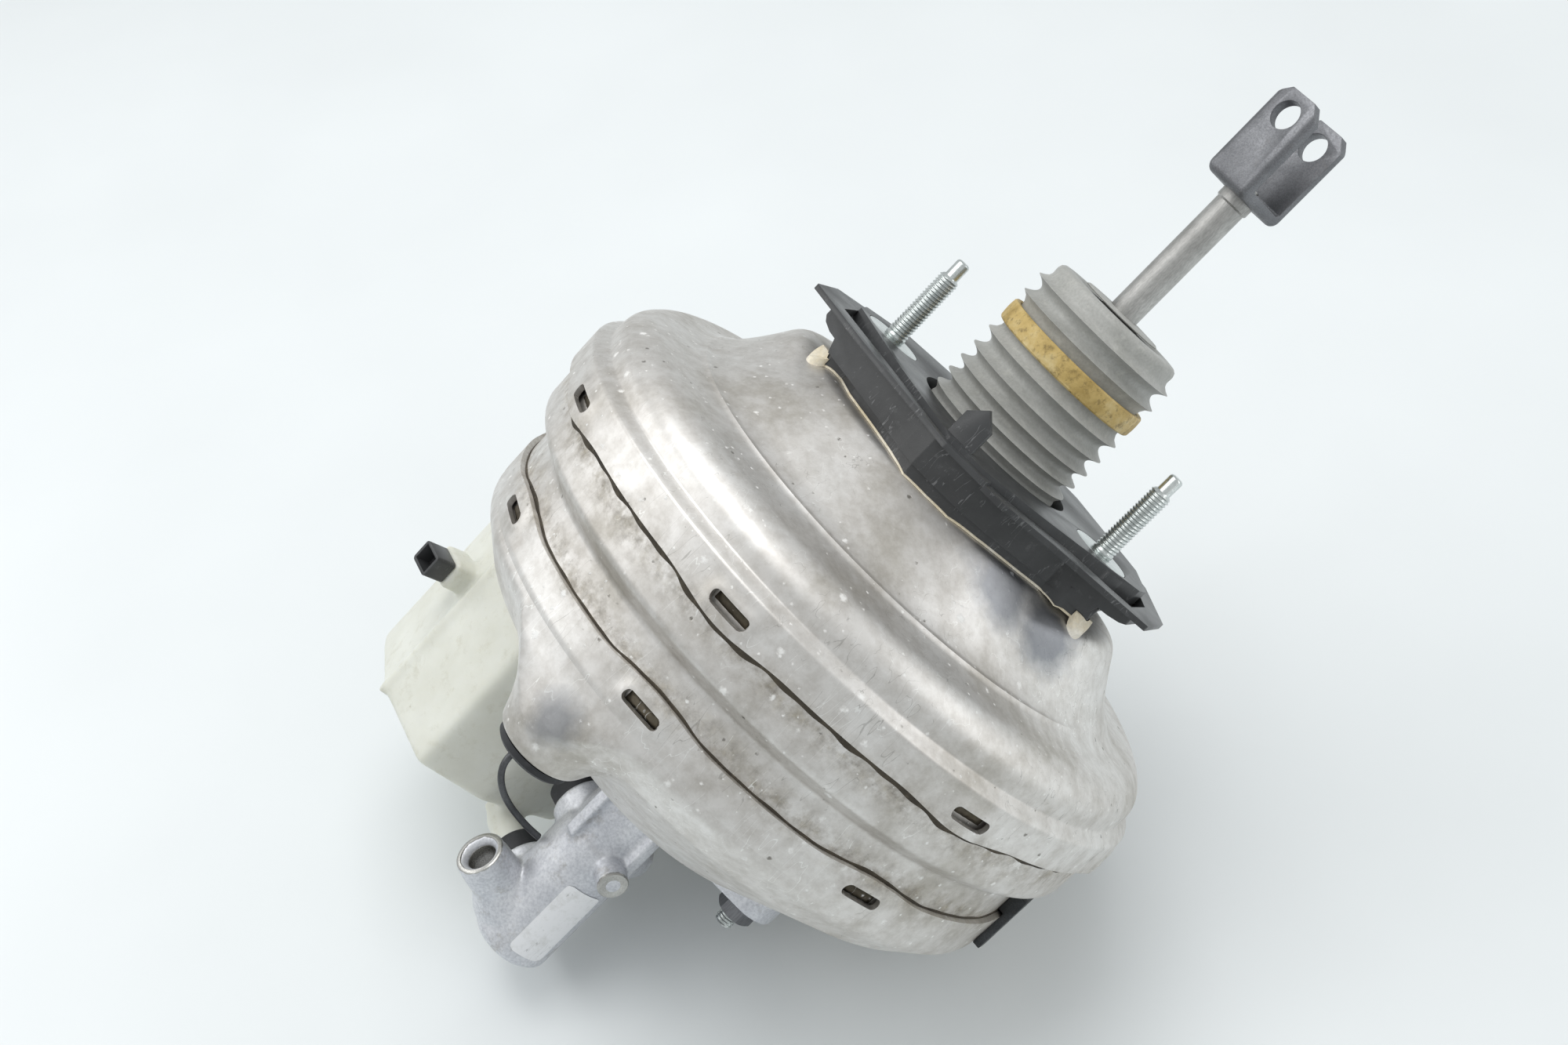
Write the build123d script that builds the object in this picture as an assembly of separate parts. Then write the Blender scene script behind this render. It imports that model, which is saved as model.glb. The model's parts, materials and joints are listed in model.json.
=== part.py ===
from build123d import *
from math import cos, radians, sin, sqrt, tan
import os

# Tandem vacuum brake booster with its master cylinder and fluid reservoir.
# Millimetres. X runs along the booster axis towards the pedal, +Z is up as fitted in a car.
# The origin is the centre of the mounting face, midway between the two mounting studs.

# ---- driving dimensions: mounting face and studs ----
stud_spacing = 103.0      # centre to centre
stud_angle = 115.0        # direction of the upper stud, from +Y towards +Z
stud_radius = 4.0         # M8, outside the plate
shank_radius = 3.6        # of the tie bolts inside the booster, the thread's pitch radius
stud_reach = 35.2         # stud length past the mounting face
stud_tip_radius = 2.65    # unthreaded pilot
stud_tip_length = 6.5
collar_radius = 11.0
collar_tube_radius = 7.0
collar_flange = 1.5
pad_x = -18.0             # flat pad of the rear shell, behind the mounting face

# ---- driving dimensions: shells ----
shell_radius = 121.5      # centre shell, the widest plain wall
wall = 2.0                # aluminium sheet
lap_gap = 0.3             # between the skirts and the shell they lap over
rear_cone_depth = 25.5    # from the flat pad to the crease at the cone's edge
centre_length = 53.5
dome_depth = 44.5         # from the front shell's crease to its flat
front_step = 5.9          # the front half is this much smaller in radius
front_pad_radius = 56.0
neck_radius = 26.0
neck_end_x = -1.0
stud_pad_half_length = 76.0
stud_pad_half_width = 33.0
stud_pad_flank = 30.0     # degrees
stud_pad_depth = 26.0
slot_count = 8
slot_angle = -152.5       # first lance slot, from +Y towards +Z
slot_length = 15.0
slot_width = 4.4
tab_span = 24.0           # degrees of skirt left long beside each slot
tab_reach = 2.5
clip_angle = -68.0
clip_span = 6.5           # degrees

# ---- driving dimensions: vacuum port ----
port_boss_angle = 195.7   # from +Y towards +Z
port_boss_inset = 25.4    # in from the shell's edge
port_boss_setback = 10.0  # its face stands this far behind the front flat
port_boss_radius = 14.0
port_hole_radius = 9.0
port_bore_radius = 6.0

# ---- driving dimensions: input side ----
rod_radius = 5.5
rod_ball_radius = 7.0
rod_ball_x = -62.0
rod_neck_radius = 4.2
rod_neck_end_x = -48.0
rivet_radius = 4.0
clevis_base_x = 112.2
clevis_end_x = 148.2
clevis_hole_x = 140.0
clevis_hole_radius = 5.0
clevis_gap = 18.6
clevis_ear = 4.0
clevis_width = 20.0
clevis_chamfer = 4.5
boot_wall = 1.6
boot_cap_x = 58.9
boot_ridge_radius = 29.5
boot_valley_radius = 25.8
boot_base_x = -5.0
band_start_x = 32.2
band_end_x = 39.8
band_radius = 29.3
band_seat_radius = 26.4

# ---- driving dimensions: inner works ----
hub_radius = 21.0
hub_bore_radius = 15.0
hub_rear_x = 30.0
hub_front_gap = 31.0      # from the hub's nose to the master cylinder's snout
valve_stroke = 1.5
running_gap = 0.06
free_gap = 0.3
plate_wall = 1.5
rubber_wall = 1.5
centre_wall_offset = 31.0 # from the centre shell's rear edge
rear_plate_gap = 14.0     # from the flat pad to the rear plate
front_plate_offset = 11.0 # in front of the wall between the chambers
plunger_radius = 10.0
plunger_lip_radius = 12.0
plunger_rear_x = -52.0
ball_cup_radius = 8.4
key_offset = 32.0         # in front of the valve piston's rear face
key_thickness = 3.0
key_width = 18.0
key_core = 6.0
disc_radius = 14.0
reaction_disc_thickness = 6.0
output_rod_radius = 6.0
spring_flange_radius = 28.0
return_wire = 3.4
return_coils = 5
retainer_x = -34.0
rod_shoulder_x = -14.0

# ---- driving dimensions: master cylinder, stations counted from the front shell's flat ----
bore_radius = 11.1
bore_end = 84.1
cylinder_end = 91.5
cylinder_radius = 16.3
collar_step = 36.5        # where the slim rear section meets the front one
rear_section_radius = 14.5
snout_radius = 17.0
snout_length = 11.5
flange_thickness = 9.0
flange_lobe_radius = 12.0
flange_bolt_gap = 0.4
primary_length = 26.0
primary_groove = 20.4
secondary_length = 20.0
secondary_grooves = (5.0, 14.4)
seal_width = 3.6
seal_depth = 3.0
piston_spring_length = 22.0
piston_wire = 2.0
piston_coils = 4
output_reach = 8.5        # how far the output rod stands in the primary piston
output_socket_depth = 9.0
stop_ring_thickness = 1.4
line_port_radius = 5.5    # core of an M12 x 1 brake line thread
line_port_depth = 15.0
line_boss_radius = 9.4
front_port_station = 80.5
front_port_direction = (0.41, -0.88, 0.24)
front_port_reach = 35.2
rear_port_station = 42.0
rear_port_direction = (0.0, 1.0, 0.2)
rear_port_reach = 27.0
plug_station = 37.5
plug_angle = -107.0
plug_radius = 5.8
plug_reach = 24.0
gallery_lead = 12.0

# ---- driving dimensions: reservoir ----
tank_front = 64.5
tank_dome_gap = 6.6       # from the tank's rear wall to the front shell's dome, at the seam
tank_flat_gap = 9.6       # from the tank's rear foot to the front shell's flat
tank_half_width = 46.5
tank_bottom_z = 38.0
tank_seam_z = 89.0
tank_height = 87.0
tank_top_half_width = 30.0
tank_wall = 2.5
tank_bevel = 28.0         # the floor rises over this width on both sides
tank_bevel_rise = 12.0
tank_pocket = 25.0        # hollow under the tank for the upper nut and the flange
tank_pocket_top_z = 61.0
tank_pocket_half_width = 36.0
foot_stations = (36.5, 70.5)
foot_radius = 6.5
foot_bore_radius = 4.0
grommet_radius = 9.5
grommet_seat_z = 19.0
grommet_top_z = 27.0
sensor_station = 12.0
sensor_width = 9.5
sensor_depth = 9.0
sensor_rise = 12.0        # above the tank's seam
cap_station = 9.5
cap_y = 12.0
cap_radius = 19.0
cap_height = 17.0
cap_ribs = 24
filler_radius = 14.0
bail_wire = 2.6

# ---- driving dimensions: nuts ----
nut_height = 7.0
nut_across_flats = 13.0
nut_flange_radius = 8.4
bolt_end_reach = 5.5      # of a tie bolt past its nut

# ---- values worked out from the above ----
stud_circle_radius = stud_spacing / 2
stud_angles = (stud_angle, stud_angle + 180.0)
rear_edge_x = pad_x - rear_cone_depth
rear_radius = shell_radius - wall
rear_skirt_radius = shell_radius + wall + 0.6
rear_slot_x = rear_edge_x - 26.9
rear_skirt_end_x = rear_edge_x - 31.1
centre_start_x = rear_edge_x - 21.5
centre_end_x = centre_start_x - centre_length
front_skirt_radius = shell_radius - front_step
front_skirt_end_x = centre_end_x + 8.9
front_slot_x = centre_end_x + 3.9
front_crease_x = centre_end_x - 3.5
front_pad_x = front_crease_x - dome_depth
centre_inner_radius = front_skirt_radius - wall - lap_gap
wall_edge_radius = centre_inner_radius - wall - 0.1
port_boss_reach = shell_radius - port_boss_inset
port_boss_y = round(port_boss_reach * cos(radians(port_boss_angle)), 1)
port_boss_z = round(port_boss_reach * sin(radians(port_boss_angle)), 1)
port_boss_face_x = front_pad_x + port_boss_setback
flange_face_x = front_pad_x - flange_thickness
snout_end_x = front_pad_x + snout_length
hub_front_x = snout_end_x + hub_front_gap
centre_wall_x = centre_start_x - centre_wall_offset
rear_plate_x = pad_x - rear_plate_gap
front_plate_x = centre_wall_x - front_plate_offset
plate_edge_radius = shell_radius - 21.5
front_plate_edge_radius = front_skirt_radius - 29.6
key_x = plunger_rear_x - key_offset
ball_cup_end_x = rod_ball_x - 8.6
ball_cup_mouth_x = rod_ball_x + 6.4
hub_recess_x = hub_front_x + 10.0
plunger_front_x = hub_recess_x + valve_stroke + 0.5
spring_flange_x = front_plate_x - plate_wall
primary_x = snout_end_x - 3.0
secondary_x = primary_x - primary_length - piston_spring_length
stop_ring_x = primary_x + 1.0
stop_ring_outer = bore_radius + 1.4
bore_end_x = front_pad_x - bore_end
cylinder_end_x = front_pad_x - cylinder_end
collar_step_x = front_pad_x - collar_step
front_port_root = (front_pad_x - front_port_station, 0.0, 3.4)
rear_port_root = (front_pad_x - rear_port_station, 0.0, 0.0)
plug_x = front_pad_x - plug_station
tie_end_x = flange_face_x - nut_height - bolt_end_reach
tank_front_x = front_pad_x - tank_front
tank_top_z = tank_bottom_z + tank_height
tank_pocket_x = front_pad_x - tank_pocket
foot_xs = [front_pad_x - station for station in foot_stations]
sensor_x = front_pad_x - sensor_station
sensor_z = tank_seam_z + sensor_rise
cap_x = front_pad_x - cap_station
stud_plane = Plane(
    origin=(0, 0, 0),
    x_dir=(0, cos(radians(stud_angle)), sin(radians(stud_angle))),
    z_dir=(1, 0, 0),
)


def stud_centre(angle):
    """Y and Z of a mounting stud."""
    return (
        stud_circle_radius * cos(radians(angle)),
        stud_circle_radius * sin(radians(angle)),
    )


def rod_x(start_x, end_x, radius, y=0.0, z=0.0):
    """A round bar along X between two stations."""
    length = abs(end_x - start_x)
    middle = (start_x + end_x) / 2
    return Pos(middle, y, z) * Rot(0, 90, 0) * Cylinder(radius, length)


def ring_x(start_x, end_x, outer, inner, y=0.0, z=0.0):
    """A plain ring along X."""
    return rod_x(start_x, end_x, outer, y, z) - rod_x(start_x, end_x, inner, y, z)


def turned(points, arc=360.0, start=0.0):
    """A closed outline of (x, radius) points turned about the booster axis."""
    face = make_face(Polyline(*points, close=True))
    return Rot(start, 0, 0) * revolve(face, Axis.X, arc)


def pressed(points, radii, thickness):
    """Sheet turned about the axis: an outer line of (x, radius) points with rounded corners."""
    outer = FilletPolyline(*points, radius=radii)
    section = make_face(offset(outer, amount=thickness, side=Side.LEFT))
    return revolve(section, Axis.X, 360.0)


def filled(points, radii, inset=0.0):
    """The solid under a rounded outer line, or under that line moved in by inset."""
    outer = FilletPolyline(*points, radius=radii)
    if inset:
        outer = offset(outer, amount=inset, side=Side.LEFT, closed=False)
    first = outer @ 0
    last = outer @ 1
    closing = Polyline(last, (last.X, 0), (first.X, 0), first)
    return revolve(make_face(outer.edges() + closing.edges()), Axis.X, 360.0)


def tie_holes(start_x, end_x, radius):
    """Two round bars on the stud centres, for cutting holes."""
    bars = [rod_x(start_x, end_x, radius, *stud_centre(a)) for a in stud_angles]
    return bars[0] + bars[1]


def coil(start_x, end_x, mean_radius, wire, turns):
    """A compression spring along X from start_x down to end_x."""
    length = abs(end_x - start_x) - wire
    line = Helix(length / turns, length, mean_radius)
    section = Plane(origin=line @ 0, z_dir=line % 0) * Circle(wire / 2)
    body = sweep(section, path=line, is_frenet=True)
    return Pos(start_x - wire / 2, 0, 0) * Rot(0, -90, 0) * body


# ---- rear shell ----
rear_line = [
    (neck_end_x, neck_radius),
    (pad_x, neck_radius),
    (pad_x, stud_circle_radius + 9.5),
    (rear_edge_x, shell_radius - 29.0),
    (rear_edge_x - 2.5, shell_radius - 9.0),
    (rear_edge_x - 9.0, rear_radius),
    (rear_edge_x - 16.0, rear_radius),
    (rear_edge_x - 19.1, rear_skirt_radius),
    (rear_skirt_end_x - tab_reach, rear_skirt_radius),
]
rear_radii = [3.0, 7.0, 2.0, 7.0, 5.0, 1.5, 1.5]


def stud_pad(inset):
    """Raised lozenge that carries the two studs, wider towards the shell."""
    flank = radians(stud_pad_flank)
    sideways = inset * (1 / cos(flank) - tan(flank))
    half = stud_pad_half_length - sideways
    width = stud_pad_half_width - sideways
    outline = stud_plane * SlotOverall(2 * half, 2 * width)
    top = Pos(pad_x - inset, 0, 0) * outline
    return extrude(top, amount=stud_pad_depth, dir=(-1, 0, 0), taper=-stud_pad_flank)


def rear_core():
    """The space inside the rear shell's outer surface."""
    return filled(rear_line, rear_radii) + stud_pad(0.0)


def lance_slots(x, radius):
    """Long slots through a skirt, evenly spaced, for the pressed lock tabs."""
    slot = Rot(0, 0, 90) * SlotOverall(slot_length, slot_width)
    cutter = extrude(Pos(x, 0, radius - wall - 1.0) * slot, wall + 2.0)
    step = 360.0 / slot_count
    cuts = [Rot(slot_angle - 90.0 + step * i, 0, 0) * cutter for i in range(slot_count)]
    return cuts


def edge_scallops(end_x, outward, radius):
    """Ring pieces that cut a skirt's edge back between its lock tabs."""
    step = 360.0 / slot_count
    tip_x = end_x + outward * (tab_reach + 1.0)
    outline = [
        (end_x, radius - wall - 1.0),
        (end_x, radius + 1.0),
        (tip_x, radius + 1.0),
        (tip_x, radius - wall - 1.0),
    ]
    starts = [slot_angle + tab_span / 2 + step * i for i in range(slot_count)]
    return [turned(outline, step - tab_span, start) for start in starts]


def make_rear_shell():
    end_x = rear_line[-1][0]
    outside = rear_core()
    inside = filled(rear_line, rear_radii, wall) + stud_pad(wall)
    inside = inside + rod_x(neck_end_x + 5.0, pad_x - 5.0, neck_radius - wall)
    inside = inside + rod_x(end_x + 5.0, end_x - 5.0, rear_skirt_radius - wall)
    body = outside - inside
    body = body - tie_holes(pad_x - 12.0, pad_x + 2.0, shank_radius + 0.1)
    for cut in lance_slots(rear_slot_x, rear_skirt_radius):
        body = body - cut
    for cut in edge_scallops(rear_skirt_end_x, -1, rear_skirt_radius):
        body = body - cut
    return body


# ---- centre shell and the wall between the two chambers ----
centre_line = [
    (centre_start_x, shell_radius),
    (centre_end_x + 28.0, shell_radius),
    (centre_end_x + 24.0, shell_radius - 5.1),
    (centre_end_x + 22.0, centre_inner_radius),
    (centre_end_x, centre_inner_radius),
]
centre_radii = [4.0, 1.5, 1.5]
seal_land_radius = hub_radius + 8.0


def make_centre_shell():
    return pressed(centre_line, centre_radii, wall)


def make_centre_wall():
    line = [
        (centre_wall_x, seal_land_radius),
        (centre_wall_x, wall_edge_radius - 8.2),
        (centre_wall_x - 8.0, wall_edge_radius),
        (centre_wall_x - 16.0, wall_edge_radius),
    ]
    disc = pressed(line, [4.0, 3.0], plate_wall)
    return disc - tie_holes(centre_wall_x - 4.0, centre_wall_x + 2.0, shank_radius + 0.05)


def make_centre_seal():
    seal_x = centre_wall_x - plate_wall
    return turned([
        (seal_x - 4.0, hub_radius + running_gap),
        (centre_wall_x + 4.0, hub_radius + running_gap),
        (centre_wall_x + 4.0, seal_land_radius + 3.0),
        (centre_wall_x + 0.1, seal_land_radius + 3.0),
        (centre_wall_x + 0.1, seal_land_radius - 0.1),
        (seal_x - 0.1, seal_land_radius - 0.1),
        (seal_x - 0.1, seal_land_radius + 3.0),
        (seal_x - 4.0, seal_land_radius + 3.0),
    ])


# ---- front shell with its vacuum port bulge ----
front_line = [
    (front_skirt_end_x + tab_reach, front_skirt_radius),
    (front_crease_x, front_skirt_radius),
    (front_crease_x - 4.5, front_skirt_radius - 1.0),
    (front_crease_x - 15.5, front_skirt_radius - 11.6),
    (front_pad_x, front_pad_radius),
    (front_pad_x, snout_radius + 0.1),
]
front_radii = [0.6, 7.0, 12.0, 5.0]


def boss_bell(inset):
    """The port bulge: a bell shape about its own axis, flared into the dome."""
    face_x = port_boss_face_x + inset
    top = port_boss_radius + 2.0 - inset
    base_x = front_crease_x - 4.0
    reach = 34.0 - inset
    flare = ThreePointArc((face_x + 3.0, top), (face_x + 14.0, top + 4.5), (base_x, reach))
    edges = [
        Polyline((base_x, 0.0), (face_x, 0.0), (face_x, top - 3.0)),
        ThreePointArc((face_x, top - 3.0), (face_x + 0.9, top - 0.9), (face_x + 3.0, top)),
        flare,
        Line((base_x, reach), (base_x, 0.0)),
    ]
    outline = Curve() + edges
    bell = revolve(make_face(outline), Axis.X, 360.0)
    return Pos(0, port_boss_y, port_boss_z) * bell


def front_limit(inset):
    """Keeps the port bulge within the skirt."""
    return rod_x(front_crease_x + 20.0, -170.0, front_skirt_radius - inset)


def make_front_shell():
    start_x = front_line[0][0]
    outside = filled(front_line, front_radii) + (boss_bell(0.0) & front_limit(0.2))
    inside = filled(front_line, front_radii, wall) + (boss_bell(wall) & front_limit(wall + 0.2))
    inside = inside + rod_x(start_x + 5.0, start_x - 5.0, front_skirt_radius - wall)
    body = outside - inside - rod_x(front_pad_x - 5.0, front_pad_x + 10.0, snout_radius + 0.1)
    body = body - rod_x(-170.0, -140.0, port_hole_radius, port_boss_y, port_boss_z)
    body = body - tie_holes(front_pad_x - 2.0, front_pad_x + 8.0, shank_radius + 0.1)
    for cut in lance_slots(front_slot_x, front_skirt_radius):
        body = body - cut
    for cut in edge_scallops(front_skirt_end_x, 1, front_skirt_radius):
        body = body - cut
    return body


def make_vacuum_grommet():
    face_x = port_boss_face_x
    lip = port_boss_radius - 0.5
    outline = [
        (face_x - 3.2, port_bore_radius),
        (face_x - 3.2, lip - 1.0),
        (face_x - 2.2, lip),
        (face_x - 0.1, lip),
        (face_x - 0.1, port_hole_radius - 0.1),
        (face_x + wall + 0.1, port_hole_radius - 0.1),
        (face_x + wall + 0.1, port_hole_radius + 2.0),
        (face_x + wall + 2.5, port_hole_radius + 1.0),
        (face_x + wall + 4.0, port_bore_radius),
    ]
    return Pos(0, port_boss_y, port_boss_z) * turned(outline)


def make_shell_clip():
    start_x = centre_end_x + 20.5
    outline = [
        (start_x, centre_inner_radius + 0.1),
        (start_x, front_skirt_radius + 3.0),
        (front_crease_x + 1.0, front_skirt_radius + 3.0),
        (front_crease_x + 1.0, front_skirt_radius + 0.1),
        (front_skirt_end_x + 3.0, front_skirt_radius + 0.1),
        (front_skirt_end_x + 3.0, centre_inner_radius + 0.1),
    ]
    return turned(outline, clip_span, clip_angle)


# ---- bulkhead frame, moulded: outlines on the stud plane, (along the stud line, across it) ----
rim_outline = [(-3, 66), (20, 56), (45, 46), (75, 29.5), (77, 4), (60, -38), (22, -64),
               (-27, -64), (-66, -38), (-82, -6), (-81.5, 22), (-45, 46), (-28, 62)]
trough_outline = [(-9, 62.5), (1, 63.5), (8, 60.5), (22, 51.5), (37, 43), (66, 28), (69, 4), (57, -36),
                  (21, -61), (-26, -61), (-62, -36), (-77, -4), (-76, 20), (-65, 26.5), (-50, 33.5),
                  (-43, 41), (-28, 54.5), (-18, 60.5)]
skirt_outline = [(-9, 61.5), (1, 62.5), (8, 59.5), (22, 50), (37, 41.5), (45, 33.5), (53, 33), (56, 29),
                 (62.6, 7), (63.2, -8), (50, -36), (21, -56), (-26, -56), (-54, -30), (-62.4, -8),
                 (-62.8, 5), (-67, 23), (-57, 30.5), (-50, 32.5), (-43, 39.5), (-28, 53), (-18, 59.5)]
plateau_outline = [(-1, 62), (3, 57), (32, 36), (66, 5), (68, -6), (57, -33), (24, -55),
                   (-24, -55), (-60, -33), (-70, -12), (-69, -3), (-37, 38), (-17, 59)]
hull_line = [(70, 4), (67.6, -4.2), (66.5, -6.2), (64, -8.5), (60, -9.6), (56.5, -9.7), (54.5, -14.3),
             (-64.5, -14.3), (-66.5, -9.4), (-70, -9.2), (-74, -8.5), (-77, -7.1), (-78.7, -5.2), (-80, 4)]
gasket_tips = ((55.5, 30.5), (-65, 23.5))
rim_top_x = -1.5
rim_thickness = 2.0
rim_drop = 1.0            # the rim steps down on the lower half of the near side
rim_step_at = -20.0       # along the stud line
moulded_wall = 3.0
channel_floor_x = -11.0
frame_hole_radius = 32.0
boss_clearance = 0.2
gasket_thickness = 1.0
gasket_tip_thickness = 3.5
gasket_tip_radius = 4.0
hook_half_width = 5.3
hook_shoulder = 8.5
hook_height = 13.5
hook_thickness = 3.0
hook_place = (-3.3, 56.0)


def outline_face(points, corner, inset=0.0):
    """A rounded outline on the stud plane, drawn in by inset."""
    face = fillet(make_face(Polyline(*points, close=True)).vertices(), corner)
    if inset:
        face = offset(face, amount=-inset)
    return face


def prism(face, start_x, end_x):
    """An outline on the stud plane, extruded between two stations."""
    placed = Pos(start_x, 0, 0) * (stud_plane * face)
    return extrude(placed, amount=end_x - start_x, dir=(1, 0, 0))


def hull(rise):
    """Side view of the trough, its bottom drawn up towards both tips, raised by rise."""
    corners = [(x + rise, along) for along, x in hull_line]
    side = Plane(origin=(0, 0, 0), x_dir=(1, 0, 0), z_dir=stud_plane.y_dir)
    face = make_face(Polyline(*corners, close=True))
    return extrude(side * face, amount=90.0, both=True)


def make_frame():
    base_x = pad_x - 24.0
    low = Pos(rim_step_at - 100.0, 0) * Rectangle(200.0, 200.0)
    rim = outline_face(rim_outline, 1.5)
    rim_low_x = rim_top_x - rim_drop
    body = prism(rim & low, rim_low_x - rim_thickness, rim_low_x)
    body = body + prism(rim - low, rim_top_x - rim_thickness, rim_top_x)
    walls = outline_face(trough_outline, 1.5)
    block = prism(walls & low, base_x, rim_low_x) + prism(walls - low, base_x, rim_top_x)
    body = body + (block & hull(0.0))
    body = body + prism(outline_face(skirt_outline, 1.0), base_x, channel_floor_x + 1.0)
    plateau = outline_face(plateau_outline, 1.5)
    body = body + prism(plateau, channel_floor_x, 0.0)
    trough = prism(outline_face(trough_outline, 1.5, moulded_wall), channel_floor_x, 1.0) & hull(moulded_wall)
    body = body - (trough - prism(plateau, channel_floor_x - 1.0, 2.0))
    inside = outline_face(skirt_outline, 1.0, moulded_wall)
    body = body - prism(inside, base_x - 1.0, channel_floor_x - moulded_wall)
    under = outline_face(plateau_outline, 1.5, moulded_wall) & inside
    body = body - prism(under, base_x, -moulded_wall)
    for angle in stud_angles:
        body = body + rod_x(pad_x - 3.0, -1.0, collar_radius + 2.0, *stud_centre(angle))
    body = body + rod_x(pad_x - 3.0, -1.0, frame_hole_radius + moulded_wall)
    body = body - rod_x(pad_x - 5.0, 1.0, frame_hole_radius)
    for angle in stud_angles:
        y, z = stud_centre(angle)
        body = body - rod_x(pad_x - 5.0, 1.0, collar_tube_radius + boss_clearance, y, z)
        body = body - rod_x(-collar_flange, 1.0, collar_radius + boss_clearance, y, z)
    body = body - Pos(gasket_thickness, 0, 0) * rear_core()
    return body + make_hook()


def make_hook():
    """Snap hook on the near side of the plateau, pointed like a gable."""
    half = hook_half_width
    corners = [(-1.0, -half), (hook_shoulder, -half), (hook_height, 0.0), (hook_shoulder, half), (-1.0, half)]
    side = Plane(origin=(0, 0, 0), x_dir=(1, 0, 0), z_dir=stud_plane.y_dir * -1)
    gable = make_face(Polyline(*corners, close=True))
    along, across = hook_place
    centre = stud_plane.x_dir * along + stud_plane.y_dir * across
    return Pos(*centre) * extrude(side * gable, amount=hook_thickness, dir=stud_plane.y_dir * -1)


def make_gasket():
    """Foam strip between the skirt's edge and the shell, swollen at both tips."""
    start, end = pad_x - 24.0, pad_x + 6.0
    core = rear_core()
    thin = Pos(gasket_thickness - 0.1, 0, 0) * core
    thick = Pos(gasket_tip_thickness, 0, 0) * core
    band = outline_face(skirt_outline, 1.0, 0.2)
    hollow = outline_face(skirt_outline, 1.0, moulded_wall + 0.6)
    body = (prism(band, start, end) - prism(hollow, start - 1.0, end + 1.0)) & thin
    free = prism(outline_face(skirt_outline, 1.0, -free_gap), start - 1.0, end + 1.0)
    for along, across in gasket_tips:
        swell = prism(Pos(along, across) * Circle(gasket_tip_radius), start, end)
        body = body + (swell & thin) + ((swell & thick) - free)
    return body - Pos(0.1, 0, 0) * core


def make_collar(angle):
    y, z = stud_centre(angle)
    body = rod_x(pad_x, -collar_flange, collar_tube_radius, y, z)
    body = body + rod_x(-collar_flange, 0.0, collar_radius, y, z)
    return body - rod_x(pad_x - 1.0, 1.0, shank_radius, y, z)


# ---- tie bolts right through the booster, and their nuts ----
def make_tie_bolt(angle):
    y, z = stud_centre(angle)
    thread_end = stud_reach - stud_tip_length
    body = rod_x(tie_end_x, 0.0, shank_radius, y, z) + rod_x(0.0, thread_end, stud_radius, y, z)
    body = body + rod_x(thread_end, stud_reach, stud_tip_radius, y, z)
    tips = body.edges().filter_by(GeomType.CIRCLE).group_by(Axis.X)
    return chamfer(tips[-1] + tips[0], 0.6)


def make_nut(angle):
    y, z = stud_centre(angle)
    flange = rod_x(flange_face_x, flange_face_x - 1.6, nut_flange_radius)
    hexagon = Plane.YZ * RegularPolygon(nut_across_flats / 2, 6, major_radius=False)
    body = flange + extrude(Pos(flange_face_x - nut_height, 0, 0) * hexagon, nut_height)
    cone = turned([
        (flange_face_x - nut_height, 0.0),
        (flange_face_x - nut_height, 6.3),
        (flange_face_x - nut_height + 1.3, 8.5),
        (flange_face_x + 1.0, 8.5),
        (flange_face_x + 1.0, 0.0),
    ])
    body = (body & cone) - rod_x(flange_face_x - 20.0, flange_face_x + 1.0, shank_radius)
    return Pos(0, y, z) * body


# ---- boot and its band ----
ridge_stations = [2.6, 8.0, 13.8, 20.1, 27.2, 44.1, 51.1]


def boot_line():
    points = [(boot_base_x, neck_radius + boot_wall + 0.1), (0.3, neck_radius + boot_wall + 0.1)]
    for i, x in enumerate(ridge_stations):
        points.append((x, boot_ridge_radius))
        if x < band_start_x and ridge_stations[i + 1] > band_end_x:
            points.append((band_start_x - 0.4, band_seat_radius))
            points.append((band_end_x + 0.4, band_seat_radius))
        elif i + 1 < len(ridge_stations):
            points.append(((x + ridge_stations[i + 1]) / 2, boot_valley_radius))
    points.append((53.8, boot_valley_radius))
    points.append((boot_cap_x, 24.6))
    points.append((boot_cap_x, rod_radius + 0.1))
    return points


def make_boot():
    points = boot_line()
    outer = FilletPolyline(*points, radius=0.5)
    section = make_face(offset(outer, amount=boot_wall, side=Side.RIGHT))
    if section.bounding_box().max.Y > boot_ridge_radius + 0.5:
        section = make_face(offset(outer, amount=boot_wall, side=Side.LEFT))
    lip = Pos(boot_cap_x - 3.5, rod_radius + 0.1 + 1.0, 0) * Rectangle(5.0, 2.0)
    return revolve(section, Axis.X, 360.0) + revolve(lip, Axis.X, 360.0)


def make_boot_band():
    middle = (band_start_x + band_end_x) / 2
    section = Pos(middle, (band_radius + band_seat_radius) / 2 + 0.05, 0) * RectangleRounded(
        band_end_x - band_start_x, band_radius - band_seat_radius - 0.1, 0.6)
    return revolve(section, Axis.X, 360.0)


# ---- input rod and clevis ----
def make_input_rod():
    body = rod_x(rod_neck_end_x, clevis_base_x, rod_radius)
    body = body + rod_x(rod_ball_x, rod_neck_end_x, rod_neck_radius)
    body = body + Pos(rod_ball_x, 0, 0) * Sphere(rod_ball_radius)
    collar = turned([
        (clevis_base_x, 0.0),
        (clevis_base_x, rod_radius + 0.6),
        (clevis_base_x - 3.0, rod_radius + 0.6),
        (clevis_base_x - 3.8, rod_radius - 0.2),
        (clevis_base_x - 3.8, 0.0),
    ])
    shoulder = ring_x(rod_shoulder_x, rod_shoulder_x + 2.5, rod_radius + 2.0, rod_radius - 0.5)
    spigot = rod_x(clevis_base_x - 1.0, clevis_base_x + clevis_ear + 1.2, rivet_radius)
    return body + collar + shoulder + spigot


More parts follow.
